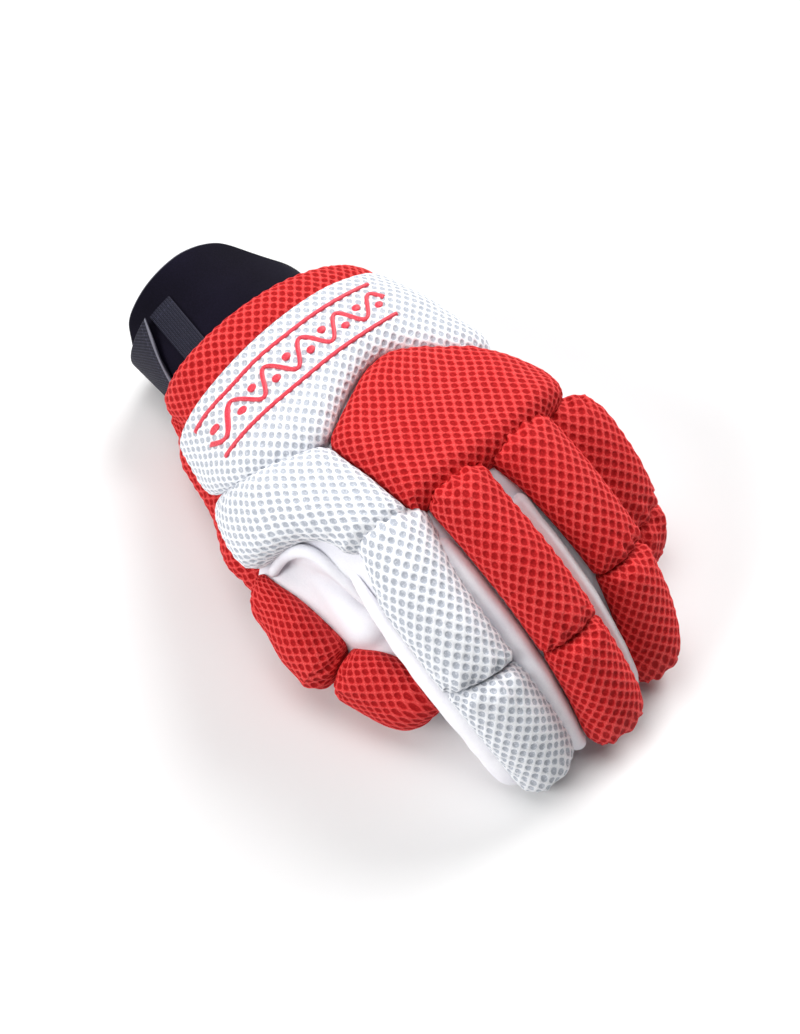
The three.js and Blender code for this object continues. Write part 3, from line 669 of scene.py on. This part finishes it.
sideStrip = dict(
    height=16, corner=3, weaveA=(2.4, 2.1), weaveB=(2.4, -2.1),
    edges=[(1.6, 10), (2.5, 5), (6, 7), (2.5, 6)],  # lower, front end, upper, back end
    slim=(0, [-68, -60, -50, -40, -30, -10, 3, 12, 26], [0.3, 0.42, 0.82, 0.96, 1.02, 1.02, 1, 1.26, 1.6]),
    **lengthwise(dict(x=[-68, -60, -50, -44, -33, -22, -13, -5, 0, 8, 26],
                      lower=[-64, -69, -74, -76, -78, -80, -83, -85, -85, -84, -79],
                      upper=[-51.5, -52, -53, -55.5, -59, -61, -62.5, -63.5, -65, -67, -68.5])))
thumbSidePad = dict(
    height=12, corner=5, weaveA=(2.6, 1.9), weaveB=(2.6, -1.9), corners=[0, 3, 9, 11],
    edges=[(7, 6), (2, 9), (4.5, 8), (4.5, 9)],  # side strip, web and index, knuckles, wrist
    outline=[[-25, -57.5], [-13, -60.2], [0, -62.8], [11, -65.5], [14, -57], [20, -46.5], [30, -42.5],
             [38, -44.5], [42, -37], [44, -22.5], [24, -18], [1.5, -16], [-9, -35.5]])
knucklePad = dict(
    height=12.5, corner=4, weaveA=(2.35, 2.0), weaveB=(2.35, -2.0), corners=[0, 2, 6, 8],
    edges=[(4, 9), (2, 9), (3, 10), (4.5, 9)],  # thumb side, fingers, outer side, wrist
    outline=[[1.5, -16], [24, -18], [44, -22.5], [45, -8], [48, 14], [47, 30], [44, 46], [30, 57],
             [8, 48], [-7, 32], [-13, 21], [-12, 10]])
handPads = dict(wrist_roll=(wristRoll, "red_mesh"), wrist_pad=(wristPad, "white_mesh"),
                thumb_side_pad=(thumbSidePad, "white_mesh"), knuckle_pad=(knucklePad, "red_mesh"),
                side_strip=(sideStrip, "red_mesh"))

# Pads on the fingers: points of the low and the high side, each as a place along the middle line and one
# round it, then the height and the finish.
fingerPads = dict(
    index_proximal_pad=([[-7, -8], [3, -9], [14, -11.5], [45, -11.5]],
                        [[-7, 15], [4, 14.5], [16, 12], [51, 11]], 11.5, "white_mesh"),
    index_distal_pad=([[45, -11.5], [94, -11.5]], [[51, 11], [95, 11]], 11, "white_mesh"),
    middle_proximal_pad=([[-4, -10.5], [53.5, -10.5]], [[-4, 10.5], [10, 9.5], [54, 9.5]], 11.5, "red_mesh"),
    middle_distal_pad=([[53.5, -10.5], [94.5, -11]], [[54, 9.5], [94.5, 10]], 11, "red_mesh"),
    ring_proximal_pad=([[-4, -10], [10, -7.5], [45.5, -5]],
                       [[-4, 14], [16, 14.5], [47, 15]], 11.5, "red_mesh"),
    ring_distal_pad=([[45.5, -5], [89, -9]], [[47, 15], [66, 14.5], [89, 9.5]], 11.5, "red_mesh"),
    little_proximal_pad=([[-7, -20], [4, -20], [22, -16], [41.5, -11]],
                         [[1, 8], [9, 10.5], [41.5, 11]], 11, "red_mesh"),
    little_distal_pad=([[41.5, -10.5], [61, -10.5]], [[41.5, 10.5], [61, 11.5]], 11.5, "red_mesh"),
    thumb_proximal_pad=([[-4, -12], [8, -18], [37.5, -21.5]],
                        [[-8.5, 8.5], [10, 8], [24, 5], [31.5, 3]], 15, "red_mesh"),
    thumb_distal_pad=([[37.5, -18], [65, -13]], [[31.5, 3], [38, 7.5], [45, 10], [67, 11]], 14, "red_mesh"),
)
# Their style on the first and on the last part of a finger: edges (low side, tip end, high side, root end),
# radius of the corners at the root and at the tip, and strength of the gathers on each side.
fingerStyles = dict(
    proximal=dict(edges=[(1.6, 10.5), (4, 7), (1.6, 10.5), (2.5, 9)], ends=(5, 2), gathers=[1, 3, 1, 3]),
    distal=dict(edges=[(1.6, 10.5), (1.6, 9), (1.6, 10.5), (4, 7)], ends=(2, 6), gathers=[1, 3, 1, 3]))
thumbStyles = dict(
    proximal=dict(edges=[(1.6, 11), (6, 7), (1.6, 10), (2.5, 9)], ends=(5, 8), gathers=[1, 2, 1, 2]),
    distal=dict(edges=[(1.6, 11), (1.6, 12), (1.6, 10), (6, 7)], ends=(8, 10), gathers=[1, 1, 1, 2.5]))
# Both pads of the thumb share one slim table, because they lie along the same middle line.
thumbSlim = (0, [-8, 5, 15, 26, 33, 40, 65], [0.34, 0.6, 0.92, 1.14, 1.04, 0.98, 0.9])
finishOf = dict(red_mesh=redMesh, white_mesh=whiteMesh)


def fingerPad(name, low, high, height, seed):
    # A finger's pad, from the points of its two sides
    finger, part = name.split("_")[:2]
    style = (thumbStyles if finger == "thumb" else fingerStyles)[part]
    root, tip = style["ends"]
    pad = dict(height=height, seed=seed, edges=style["edges"], gathers=style["gathers"],
               weaveA=(2.45, 2.2), weaveB=(2.45, -2.2), stretchV=1.75, stretchU=1.25,
               outline=low + high[::-1], corners=[0, len(low) - 1, len(low), len(low) + len(high) - 1],
               corner=[root] + [tip] * (len(low) - 1) + [min(tip, 6)] * (len(high) - 1) + [min(root, 4)],
               chart=lambda s, w, h: fingerPoint(finger, s, w, h),
               weaveChart=lambda s, w, h: fingerWeave(finger, s, w, h))
    if finger == "thumb":
        pad["slim"] = thumbSlim
    return dict(pad, sides=padSides(pad))


laid = []
for seed, (name, (pad, slot)) in enumerate(handPads.items()):
    pad.update(chart=handPoint, weaveChart=handWeave, seed=seed, sides=padSides(pad))
    laid.append(makePad(name, pad, finishOf[slot]))
for seed, (name, (low, high, height, slot)) in enumerate(fingerPads.items(), 20):
    piece = makePad(name, fingerPad(name, low, high, height, seed), finishOf[slot])
    cutBy(piece, laid)
    laid.append(piece)
print("pads:", len(laid), "pieces,", sum(len(o.data.polygons) for o in laid), "faces")


# The stitched border on the wrist pad: a wave and dots between two lines, in satin stitch. Places are on
# the hand, in mm: along is where its middle lies at the two ends, and dotsOff a share of the wave's height.
border = dict(w=(-40, 30), along=(-33, -31), lines=9.5, wave=4.6, period=14.0, width=1.5, height=0.7,
              stitch=0.55, ridge=0.14, taper=0.8, sunk=0.5, dot=1.5, dotsOff=0.45)


def satinRibbon(path, width, height, disc=False):
    # A band of thread along a path on the wrist pad: a half round section whose ridges cross it at a slant
    length = lengthAlong(path)[-1]
    at = np.linspace(0, length, int(length / (border["stitch"] / 4)))
    path = pointsAt(path, at)
    way = unit(np.gradient(path, axis=0))
    across = np.linspace(-1, 1, 11)
    if disc:
        width = width * np.sqrt(np.clip(1 - (2 * at / at[-1] - 1) ** 2, 0.02, 1))[:, None, None]
    flat = path[:, None] + across[:, None] * width / 2 * np.stack([-way[:, 1], way[:, 0]], -1)[:, None]
    top = cover(wristPad, flat)[0]
    ridge = 0.5 + 0.5 * np.cos(2 * pi * (at[:, None] + 0.5 * across * border["width"]) / border["stitch"])
    taper = np.sqrt(np.clip(np.minimum(at, at[-1] - at) / border["taper"], 0.02, 1))[:, None]
    rise = height * np.sqrt(1 - 0.92 * across ** 2) * taper + border["ridge"] * (ridge - 0.5)
    up = gridNormals(top)
    up *= np.sign(up[..., 2:] + 1e-9)
    upper, lower = top + rise[..., None] * up, top[:, ::-1] - border["sunk"] * up[:, ::-1]
    return closedTube(np.concatenate([lower, upper], 1)[:, ::-1])


def makeBorder():
    w = np.linspace(*border["w"], 500)
    x = np.linspace(*border["along"], 500)
    swing = np.sin(2 * pi * (w - w[0]) / border["period"])
    paths = [np.stack([x + off, w], -1) for off in (-border["lines"], border["lines"])]
    paths.append(np.stack([x + border["wave"] * swing, w], -1))
    for k in range(int((w[-1] - w[0]) / border["period"] * 2)):
        place = w[0] + border["period"] * (0.25 + k / 2)
        away = -np.interp(place, w, border["wave"] * swing) * border["dotsOff"]
        middle = np.interp(place, w, x) + away
        reach = np.linspace(-1, 1, 9) * border["dot"]
        paths.append(np.stack([middle + reach, np.full(9, place)], -1))
    ribbons = [satinRibbon(path, border["width"] if k < 3 else 2 * border["dot"], border["height"], k > 2)
               for k, path in enumerate(paths)]  # the first three are lines, and the others dots
    piece = newPiece("wrist_pad_border", *joinTubes(ribbons), material=redThread)
    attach(piece, "root")


# The inner glove: thickness of its cloth, size of the grid that joins its forms, rounds of smoothing, where
# its open wrist ends, and how much longer the hand's form is made first
innerGlove = dict(wall=1.5, voxel=1.3, rounds=13, start=-58, spare=6)


def handRings(start, around=96):
    x = np.linspace(start, hand["x"][-1], 70)[:, None]
    w = (2 * (np.arange(around) + 0.5) / around - 1)[None] * handSection(x)["halfGirth"]
    return handPoint(x, w, 0.0)


def fingerRings(name, around=48):
    # Rings along a finger and over its two round ends, which stop just short of their poles
    f = fingers[name]
    capStart, capEnd = f["wide"] * pi / 2 * 0.97, f["slim"] * pi / 2 * 0.97
    s = np.concatenate([-np.linspace(capStart, 0, 8), np.linspace(0, f["length"], 30)[1:-1],
                        f["length"] + np.linspace(0, capEnd, 8)])[:, None]
    radius = f["wide"] + (f["slim"] - f["wide"]) * np.clip(s / f["length"], 0, 1)
    return fingerPoint(name, s, 2 * pi * radius * (np.arange(around) / around)[None], 0.0)


# Piped edges of the white side panels: finger, start and end along it, place round it at start and end,
# half width, height over its middle, height of its middle over the skin, and how far from its start it
# reaches full size.
welts = [("index", -3, 98, -18.1, -13.6, 4.6, 3.6, 1.0, 54), ("index", 14, 90, 14.4, 13.2, 1.6, 1.4, 0.6, 3),
         ("middle", 6, 93, -14.4, -14, 3.1, 3.6, 6.2, 3), ("middle", 11, 94, 13.8, 12.8, 1.7, 2, 6, 3),
         ("ring", 5, 88, -13.2, -12.6, 2.8, 3.6, 6.8, 3), ("ring", 30, 88, 14.6, 13.2, 1.6, 1.6, 1.2, 6),
         ("little", 28, 59, -14.4, -13.2, 2.0, 2.2, 1.8, 6), ("little", 6, 59, 13.4, 12.8, 1.5, 1.3, 0.6, 3)]


def makeWelts():
    # Rolls along the fingers, whose ends close over their last few mm
    rolls = []
    for seed, (finger, start, end, low, high, wide, tall, lift, taper) in enumerate(welts, 60):
        s = start + (end - start) * (1 - np.cos(np.linspace(0, pi, 160))) / 2
        t = np.clip(np.minimum((s - start) / taper, (end - s) / (1.6 * wide)), 0, 1)
        size = (np.sqrt(1 - (1 - t) ** 2) + 0.02)[:, None]
        angle = np.linspace(0, 2 * pi, 29)[:-1]
        w = np.interp(s, [start, end], [low, high])[:, None]
        place = fingerPoint(finger, s[:, None], w, 0 * angle)
        uneven = 1 + 0.07 * lumps(place, 9, seed)
        rings = fingerPoint(finger, s[:, None], w + wide * size * uneven * np.cos(angle),
                            lift + size * uneven * np.where(angle < pi, tall, lift + 1) * np.sin(angle))
        rolls.append(closedTube(rings))
    # the piping takes the lining's white painted brighter, as painted light in the shade between the fingers
    piece = newPiece("finger_welts", *joinTubes(rolls), material=weltClothPaintedBright)
    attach(piece, "root")


def makeInnerGlove():
    # The forms of the hand and the fingers, joined on a grid of small cubes and smoothed
    forms = [handRings(innerGlove["start"] - innerGlove["spare"])] + [fingerRings(f) for f in fingers]
    piece = newPiece("inner_glove_cloth", *joinTubes(closedTube(r) for r in forms), material=liningCloth)
    join = piece.modifiers.new("join", "REMESH")
    join.mode, join.voxel_size = "VOXEL", innerGlove["voxel"] * mm
    soften = piece.modifiers.new("soften", "SMOOTH")
    soften.factor, soften.iterations = 0.5, innerGlove["rounds"]
    bake(piece)
    # the wrist is opened, and the wall grows inwards from the outer surface
    mesh = piece.data
    corners = np.zeros(len(mesh.loops), np.int32)
    mesh.loops.foreach_get("vertex_index", corners)
    p = pointsOf(piece)
    quads = corners.reshape(-1, 4)
    keep = (p[quads][..., 0] > (innerGlove["start"] - centre[0]) * mm).all(1)
    used, renamed = np.unique(quads[keep], return_inverse=True)
    q = p[used] / mm + [centre[0], centre[1], 0]
    bpy.data.objects.remove(piece)
    piece = newPiece("inner_glove_cloth", q, [renamed.reshape(-1, 4)], material=liningCloth)
    wall = piece.modifiers.new("wall", "SOLIDIFY")
    wall.thickness, wall.offset = innerGlove["wall"] * mm, -1
    bake(piece)
    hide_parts("inner_glove")
    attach(piece, "root")
    return piece


makeBorder()
innerPiece = makeInnerGlove()
makeWelts()
print("border, piping and inner glove made, the last with", len(innerPiece.data.polygons), "faces")


# The cuff: wall, how far it lies below the hand's section and above the ground, how round its cut edge is,
# its creases, and where its end is cut, from the little finger's side over the back and the thumb's side to
# the palm (w is a share of the half girth).
cuff = dict(start=-58.4, wall=2.5, drop=2.8, floor=2.2, edge=0.9, crease=0.5, creaseSize=34,
            end=dict(w=[-1, -0.75, -0.5, -0.43, -0.36, -0.29, -0.2, -0.1, 0, 0.06, 0.12, 0.18, 0.22, 0.265,
                        0.32, 0.45, 0.7, 1],
                     x=[-97, -97, -95.5, -97.5, -101.5, -103.5, -105.2, -106, -106, -105.2, -103.6, -101,
                        -97.4, -91, -83.4, -75.5, -74, -97]))


def nappedCloth(name, colour, pale, cut):
    # A fine nap with soft cloudiness, and a cut edge of another tone
    def build(wire):
        place = wire.onObject()
        nap, cloud, dents = place.noise(2400.0, 3.0, 0.6), place.noise(30.0), place.noise(90.0)
        cloth = (nap * 0.5 + cloud * 0.5).step(0.3, 0.75).mix(colour, pale)
        return dict(Base_Color=wire.cutEdge().step(0.5, 0.9).mix(cloth, cut),
                    Normal=(nap * 0.7 + dents * 0.6).bump(0.22, 0.0005))
    return newMaterial(name, build, Roughness=0.7, Specular_IOR_Level=0.06)


cuffCloth = nappedCloth("black cuff cloth", tone(8, 6, 16), tone(23, 20, 36), tone(96, 96, 104))


def makeCuff():
    # Rows run from the sewn end to the cut end outside, round the cut edge, and back inside.
    around, outside, inside = 220, 44, 30
    share = 2 * (np.arange(around) + 0.5) / around - 1
    end = ease(cuff["end"], "w", share)["x"]
    wall, bevel = cuff["wall"], cuff["edge"] * 0.35
    lengths = np.concatenate([np.linspace(0, 0.97, outside), [1, 1, 1], np.linspace(0.97, 0, inside)])
    depths = np.concatenate([np.zeros(outside), [bevel, wall / 2, wall - bevel], np.full(inside, wall)])
    short = np.concatenate([np.zeros(outside), [bevel, 0, bevel], np.zeros(inside)])
    x = cuff["start"] + (end[None] - cuff["start"]) * lengths[:, None] + short[:, None]
    p = handPoint(x, share[None] * handSection(x)["halfGirth"], -cuff["drop"] - depths[:, None])
    # the creases run round the cuff more than along it, and fade out towards the sewn end
    creases = cuff["crease"] * lumps(p * [1.6, 0.6, 0.6], cuff["creaseSize"], 60)
    p = p - (creases * smoothstep(0, 0.25, lengths)[:, None])[..., None] * gridNormals(p)
    p[..., 2] = np.maximum(p[..., 2], cuff["floor"] + depths[:, None])
    n = len(lengths)
    i, j = np.meshgrid(np.arange(n), np.arange(around), indexing="ij")
    a, b = i * around + j, i * around + (j + 1) % around
    c, d = (i + 1) % n * around + j, (i + 1) % n * around + (j + 1) % around
    onEdge = np.concatenate([np.zeros(outside), [1, 1, 1], np.zeros(inside)])
    piece = newPiece("cuff_cloth", p, [np.stack([a, b, d, c], -1).reshape(-1, 4)],
                     attributes=dict(edge=np.repeat(onEdge, around)), material=cuffCloth)
    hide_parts("wrist_cuff")
    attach(piece, "root")


makeCuff()


# The strap: its edges, where its free end is cut, how far it wraps past the palm's middle, and its lift. Its
# gap over the cuff is the elastic's too.
strap = dict(back=-94.5, front=-66, backEdge=-25.5, frontEdge=-44, wrapPast=14, lift=3, liftLength=13,
             thick=1.4, gap=0.4)
# The elastic runs from back to front, and its middle lies at these places round the hand. The ribs are part
# of its thickness.
elastic = dict(back=-94.5, front=-62, backMiddle=-19.5, frontMiddle=-25.5, width=11, thick=1.2, ribs=10,
               ribHeight=0.3)


def bandPiece(name, back, front, lift, thick, profile, material, node, floor, across=60):
    # A flat band between a back and a front edge, given as places on the hand. profile(share) adds to its
    # height across the width, and it doesn't reach below the floor.
    share = np.linspace(0, 1, across + 1)
    ring = np.concatenate([share, share[::-1]])
    height = np.concatenate([profile(share) + thick + strap["gap"], np.full(across + 1, strap["gap"])])
    width = np.hypot(*(back[0] - front[0]))
    edge = np.minimum(ring, 1 - ring) * width
    rounding = 0.5 * (1 - smoothstep(0, 0.6, edge))
    height = height + np.where(np.arange(len(ring)) <= across, -rounding, rounding)
    place = back[:, None] + (front - back)[:, None] * ring[None, :, None]
    h = height[None] + lift[:, None] * (1 - ring)[None] - cuff["drop"]
    p = handPoint(place[..., 0], place[..., 1], h)
    low = np.where(np.arange(len(ring)) <= across, floor + thick, floor)
    p[..., 2] = np.maximum(p[..., 2], low[None])
    points, quads, ends = closedTube(p)
    n, m = p.shape[:2]
    along = lengthAlong(p[:, across // 2])[:, None]
    uv = np.stack(np.broadcast_arrays(along, ring[None] * width), -1)
    uv = np.vstack([uv.reshape(-1, 2), uv[0].mean(0)[None], uv[-1].mean(0)[None]])
    # the cut end takes the cut edge tone, which on the strap is painted highlight
    side = np.zeros((n, m))
    side[:2, 1:across] = 1
    attributes = dict(edge=np.concatenate([side.ravel(), [0, 0]]))
    piece = newPiece(name, points, [quads, ends], uv, attributes, material)
    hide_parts(node)
    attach(piece, "root")


def webbingCloth(name, pitch, rib, colour, pale, cut, hem):
    # Dots of yarn in a weave, which turn into ribs by the given share, with painted highlight on their raised
    # tops, a cut edge of another tone, and a line of stitches at a distance from the end
    def build(wire):
        u, v = wire.onSurface()
        fibre = wire.onObject().noise(2600.0, 3.0, 0.6)
        rows = (v * (2 * pi / pitch)).math("SINE")
        dots = rows * (1 - rib) * (u * (2 * pi / pitch)).math("SINE") + rows.math("ABSOLUTE") * rib
        # the raised dots and ribs take the pale tone as painted highlight; the stitches and random fibre take
        # it too
        raisedHighlight = dots.step(0.1, 0.75)
        stitches = (u - hem).math("ABSOLUTE").step(0.5, 0.15) * (v * 3.2).math("SINE").step(-0.2, 0.4)
        cloth = (raisedHighlight * 0.75 + stitches * 0.5 + (fibre - 0.5) * 0.9).clamped().mix(colour, pale)
        return dict(Base_Color=wire.cutEdge().step(0.3, 0.9).mix(cloth, cut),
                    Normal=(dots * 0.5 + fibre * 0.3 + stitches * 0.4).bump(0.7, 0.0005))
    return newMaterial(name, build, Roughness=0.65, Specular_IOR_Level=0.2)


# The pale tones are painted highlight on the raised yarn, and the strap's pale cut tone is painted highlight
# on its upturned cut end.
strapCloth = webbingCloth("hook and loop webbing", 1.35, 0.0, tone(25, 24, 36), tone(66, 66, 84),
                          tone(122, 122, 134), 2.6)
elasticCloth = webbingCloth("ribbed elastic", 1.1, 0.75, tone(7, 7, 16), tone(54, 54, 73),
                            tone(34, 34, 48), 2.8)


def makeStrap():
    t = np.linspace(0, 1, 220)

    def route(x, edge):
        w = edge + (-handSection(np.array(float(x)))["halfGirth"] - strap["wrapPast"] - edge) * t
        return np.stack([np.full_like(t, x), w], -1)
    girth = handSection(np.array(float(strap["back"])))["halfGirth"]
    travelled = t * (girth + strap["backEdge"])
    lift = strap["lift"] * np.maximum(0, 1 - travelled / strap["liftLength"]) ** 2
    bandPiece("strap_webbing", route(strap["back"], strap["backEdge"]),
              route(strap["front"], strap["frontEdge"]), lift, strap["thick"],
              lambda share: 0 * share, strapCloth, "wrist_strap", 0)


def makeElastic():
    t = np.linspace(0, 1, 90)
    x = elastic["back"] + (elastic["front"] - elastic["back"]) * t
    middle = elastic["backMiddle"] + (elastic["frontMiddle"] - elastic["backMiddle"]) * t
    half, ribHeight = elastic["width"] / 2, elastic["ribHeight"]

    def ribbed(share):
        return ribHeight * np.abs(np.sin(pi * elastic["ribs"] * share))
    bandPiece("elastic_webbing", np.stack([x, middle - half], -1), np.stack([x, middle + half], -1),
              0 * t, elastic["thick"] - ribHeight, ribbed, elasticCloth, "elastic_band", -50)


makeStrap()
makeElastic()
print("cuff, strap and elastic made")


# The rolled edge of cloth over the thumb's web: points of its middle line, the way it faces, and its half
# width and half height at shares of its length
webHem = dict(line=[[13.4, -71, 40], [13.5, -68.8, 44], [14, -67, 48.5], [16, -66.3, 53.7],
                    [18.7, -64.9, 58.2], [21.7, -63, 61], [25.7, -61.5, 61.6], [30.6, -60.8, 60],
                    [36, -59.4, 56], [42.5, -57.6, 50.8], [48.5, -55.4, 45.5], [52, -53, 41]],
              facing=[0.1, -0.8, 0.6], wide=([0, 0.15, 0.4, 1], [1.7, 2.3, 2.5, 1.6]),
              tall=([0, 0.15, 0.4, 0.7, 1], [1.7, 2.0, 2.0, 1.7, 1.0]))


def makeHem():
    # An oval carried along the line, with blunt ends
    t = np.linspace(0, 1, 140)
    middle = alongLine(np.array(webHem["line"]), t)
    for _ in range(60):  # rounds off the line's corners
        middle[1:-1] = (middle[:-2] + 2 * middle[1:-1] + middle[2:]) / 4
    blunt = np.sqrt(np.clip(np.minimum(t / 0.03, (1 - t) / 0.05), 0.03, 1))
    wide, tall = np.interp(t, *webHem["wide"]) * blunt, np.interp(t, *webHem["tall"]) * blunt
    tangent = unit(np.gradient(middle, axis=0))
    sideways = unit(np.cross(tangent, webHem["facing"]))
    up = np.cross(sideways, tangent)
    angle = np.linspace(0, 2 * pi, 33)[:-1]
    rings = (middle[:, None] + (wide[:, None] * np.cos(angle))[..., None] * sideways[:, None]
             + (tall[:, None] * np.sin(angle))[..., None] * up[:, None])
    points, quads, ends = closedTube(rings)
    piece = newPiece("web_hem_cloth", points, [quads, ends], material=liningCloth)
    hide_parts("thumb_web_hem")
    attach(piece, "root")


makeHem()
print("hem made")

# The camera stands at the photo's angle: azimuth and elevation of the line from the aim to it, in degrees,
# distance and aim in mm, and focal length and height of the frame in the photo's pixels
cameraView = dict(azimuth=-43.0, elevation=62.0, distance=1300.0, aim=(28.3, -24.2, 44.1), focal=3744.0,
                  frameHeight=1034.0, sensor=36.0)


def makeCamera():
    data = bpy.data.cameras.new("camera")
    camera = bpy.data.objects.new("camera", data)
    bpy.context.scene.collection.objects.link(camera)
    a, e = radians(cameraView["azimuth"]), radians(cameraView["elevation"])
    back = np.array([np.cos(e) * np.cos(a), np.cos(e) * np.sin(a), np.sin(e)])
    right = np.array([-np.sin(a), np.cos(a), 0])
    up = np.cross(back, right)
    aim = np.array(cameraView["aim"]) - [centre[0], centre[1], 0]
    matrix = np.eye(4)
    matrix[:3, 0], matrix[:3, 1], matrix[:3, 2] = right, up, back
    matrix[:3, 3] = (aim + cameraView["distance"] * back) * mm
    camera.matrix_world = matrix.T.tolist()
    data.sensor_width = cameraView["sensor"]
    data.lens = cameraView["focal"] / cameraView["frameHeight"] * cameraView["sensor"]
    data.clip_start, data.clip_end = 0.05, 20
    bpy.context.scene.camera = camera


# Soft lamps far off: direction towards each, strength, and how wide it looks in degrees
lamps = dict(key=((-0.35, -0.1, 1.25), 1.0, 31), top=((0.2, 0.2, 1.25), 0.42, 31),
             left=((-0.3, -1.1, 0.75), 2.4, 34), right=((-0.38, 1.0, 0.78), 3.15, 35))
# Pale surroundings: strength of the light that they give, and how much stronger the camera sees them
surroundings = dict(colour=(0.97, 0.98, 1, 1), glow=0.06, seen=0.92)


def makeStage(reach=4000):
    # A plain pale floor, the lamps and the surroundings
    def build(wire):
        return dict(Base_Color=wire.onObject().noise(6.0).mix(tone(234, 234, 234), tone(238, 238, 238)))
    floorFinish = newMaterial("pale floor", build, Roughness=0.9, Specular_IOR_Level=0.1)
    corners = [[-reach, -reach, 0], [reach, -reach, 0], [reach, reach, 0], [-reach, reach, 0]]
    floor = newPiece("floor", corners, [[[0, 1, 2, 3]]], material=floorFinish)
    world = bpy.data.worlds.new("studio")
    bpy.context.scene.world = world
    world.use_nodes = True
    surround = Wire(world.node_tree, None)
    seen = surround.node("ShaderNodeLightPath", {}, {})
    background = world.node_tree.nodes["Background"]
    background.inputs[0].default_value = surroundings["colour"]
    strength = seen * surroundings["seen"] + surroundings["glow"]
    world.node_tree.links.new(strength.socket, background.inputs[1])
    for name, (place, power, width) in lamps.items():
        data = bpy.data.lights.new(name, "SUN")
        data.energy, data.angle = power, radians(width)
        lamp = bpy.data.objects.new(name, data)
        bpy.context.scene.collection.objects.link(lamp)
        lamp.location = place
        lamp.rotation_mode = "QUATERNION"
        lamp.rotation_quaternion = Vector(place).to_track_quat("Z", "Y")


makeCamera()
makeStage()
bpy.context.scene.view_settings.view_transform = "Standard"
print("camera and stage made")
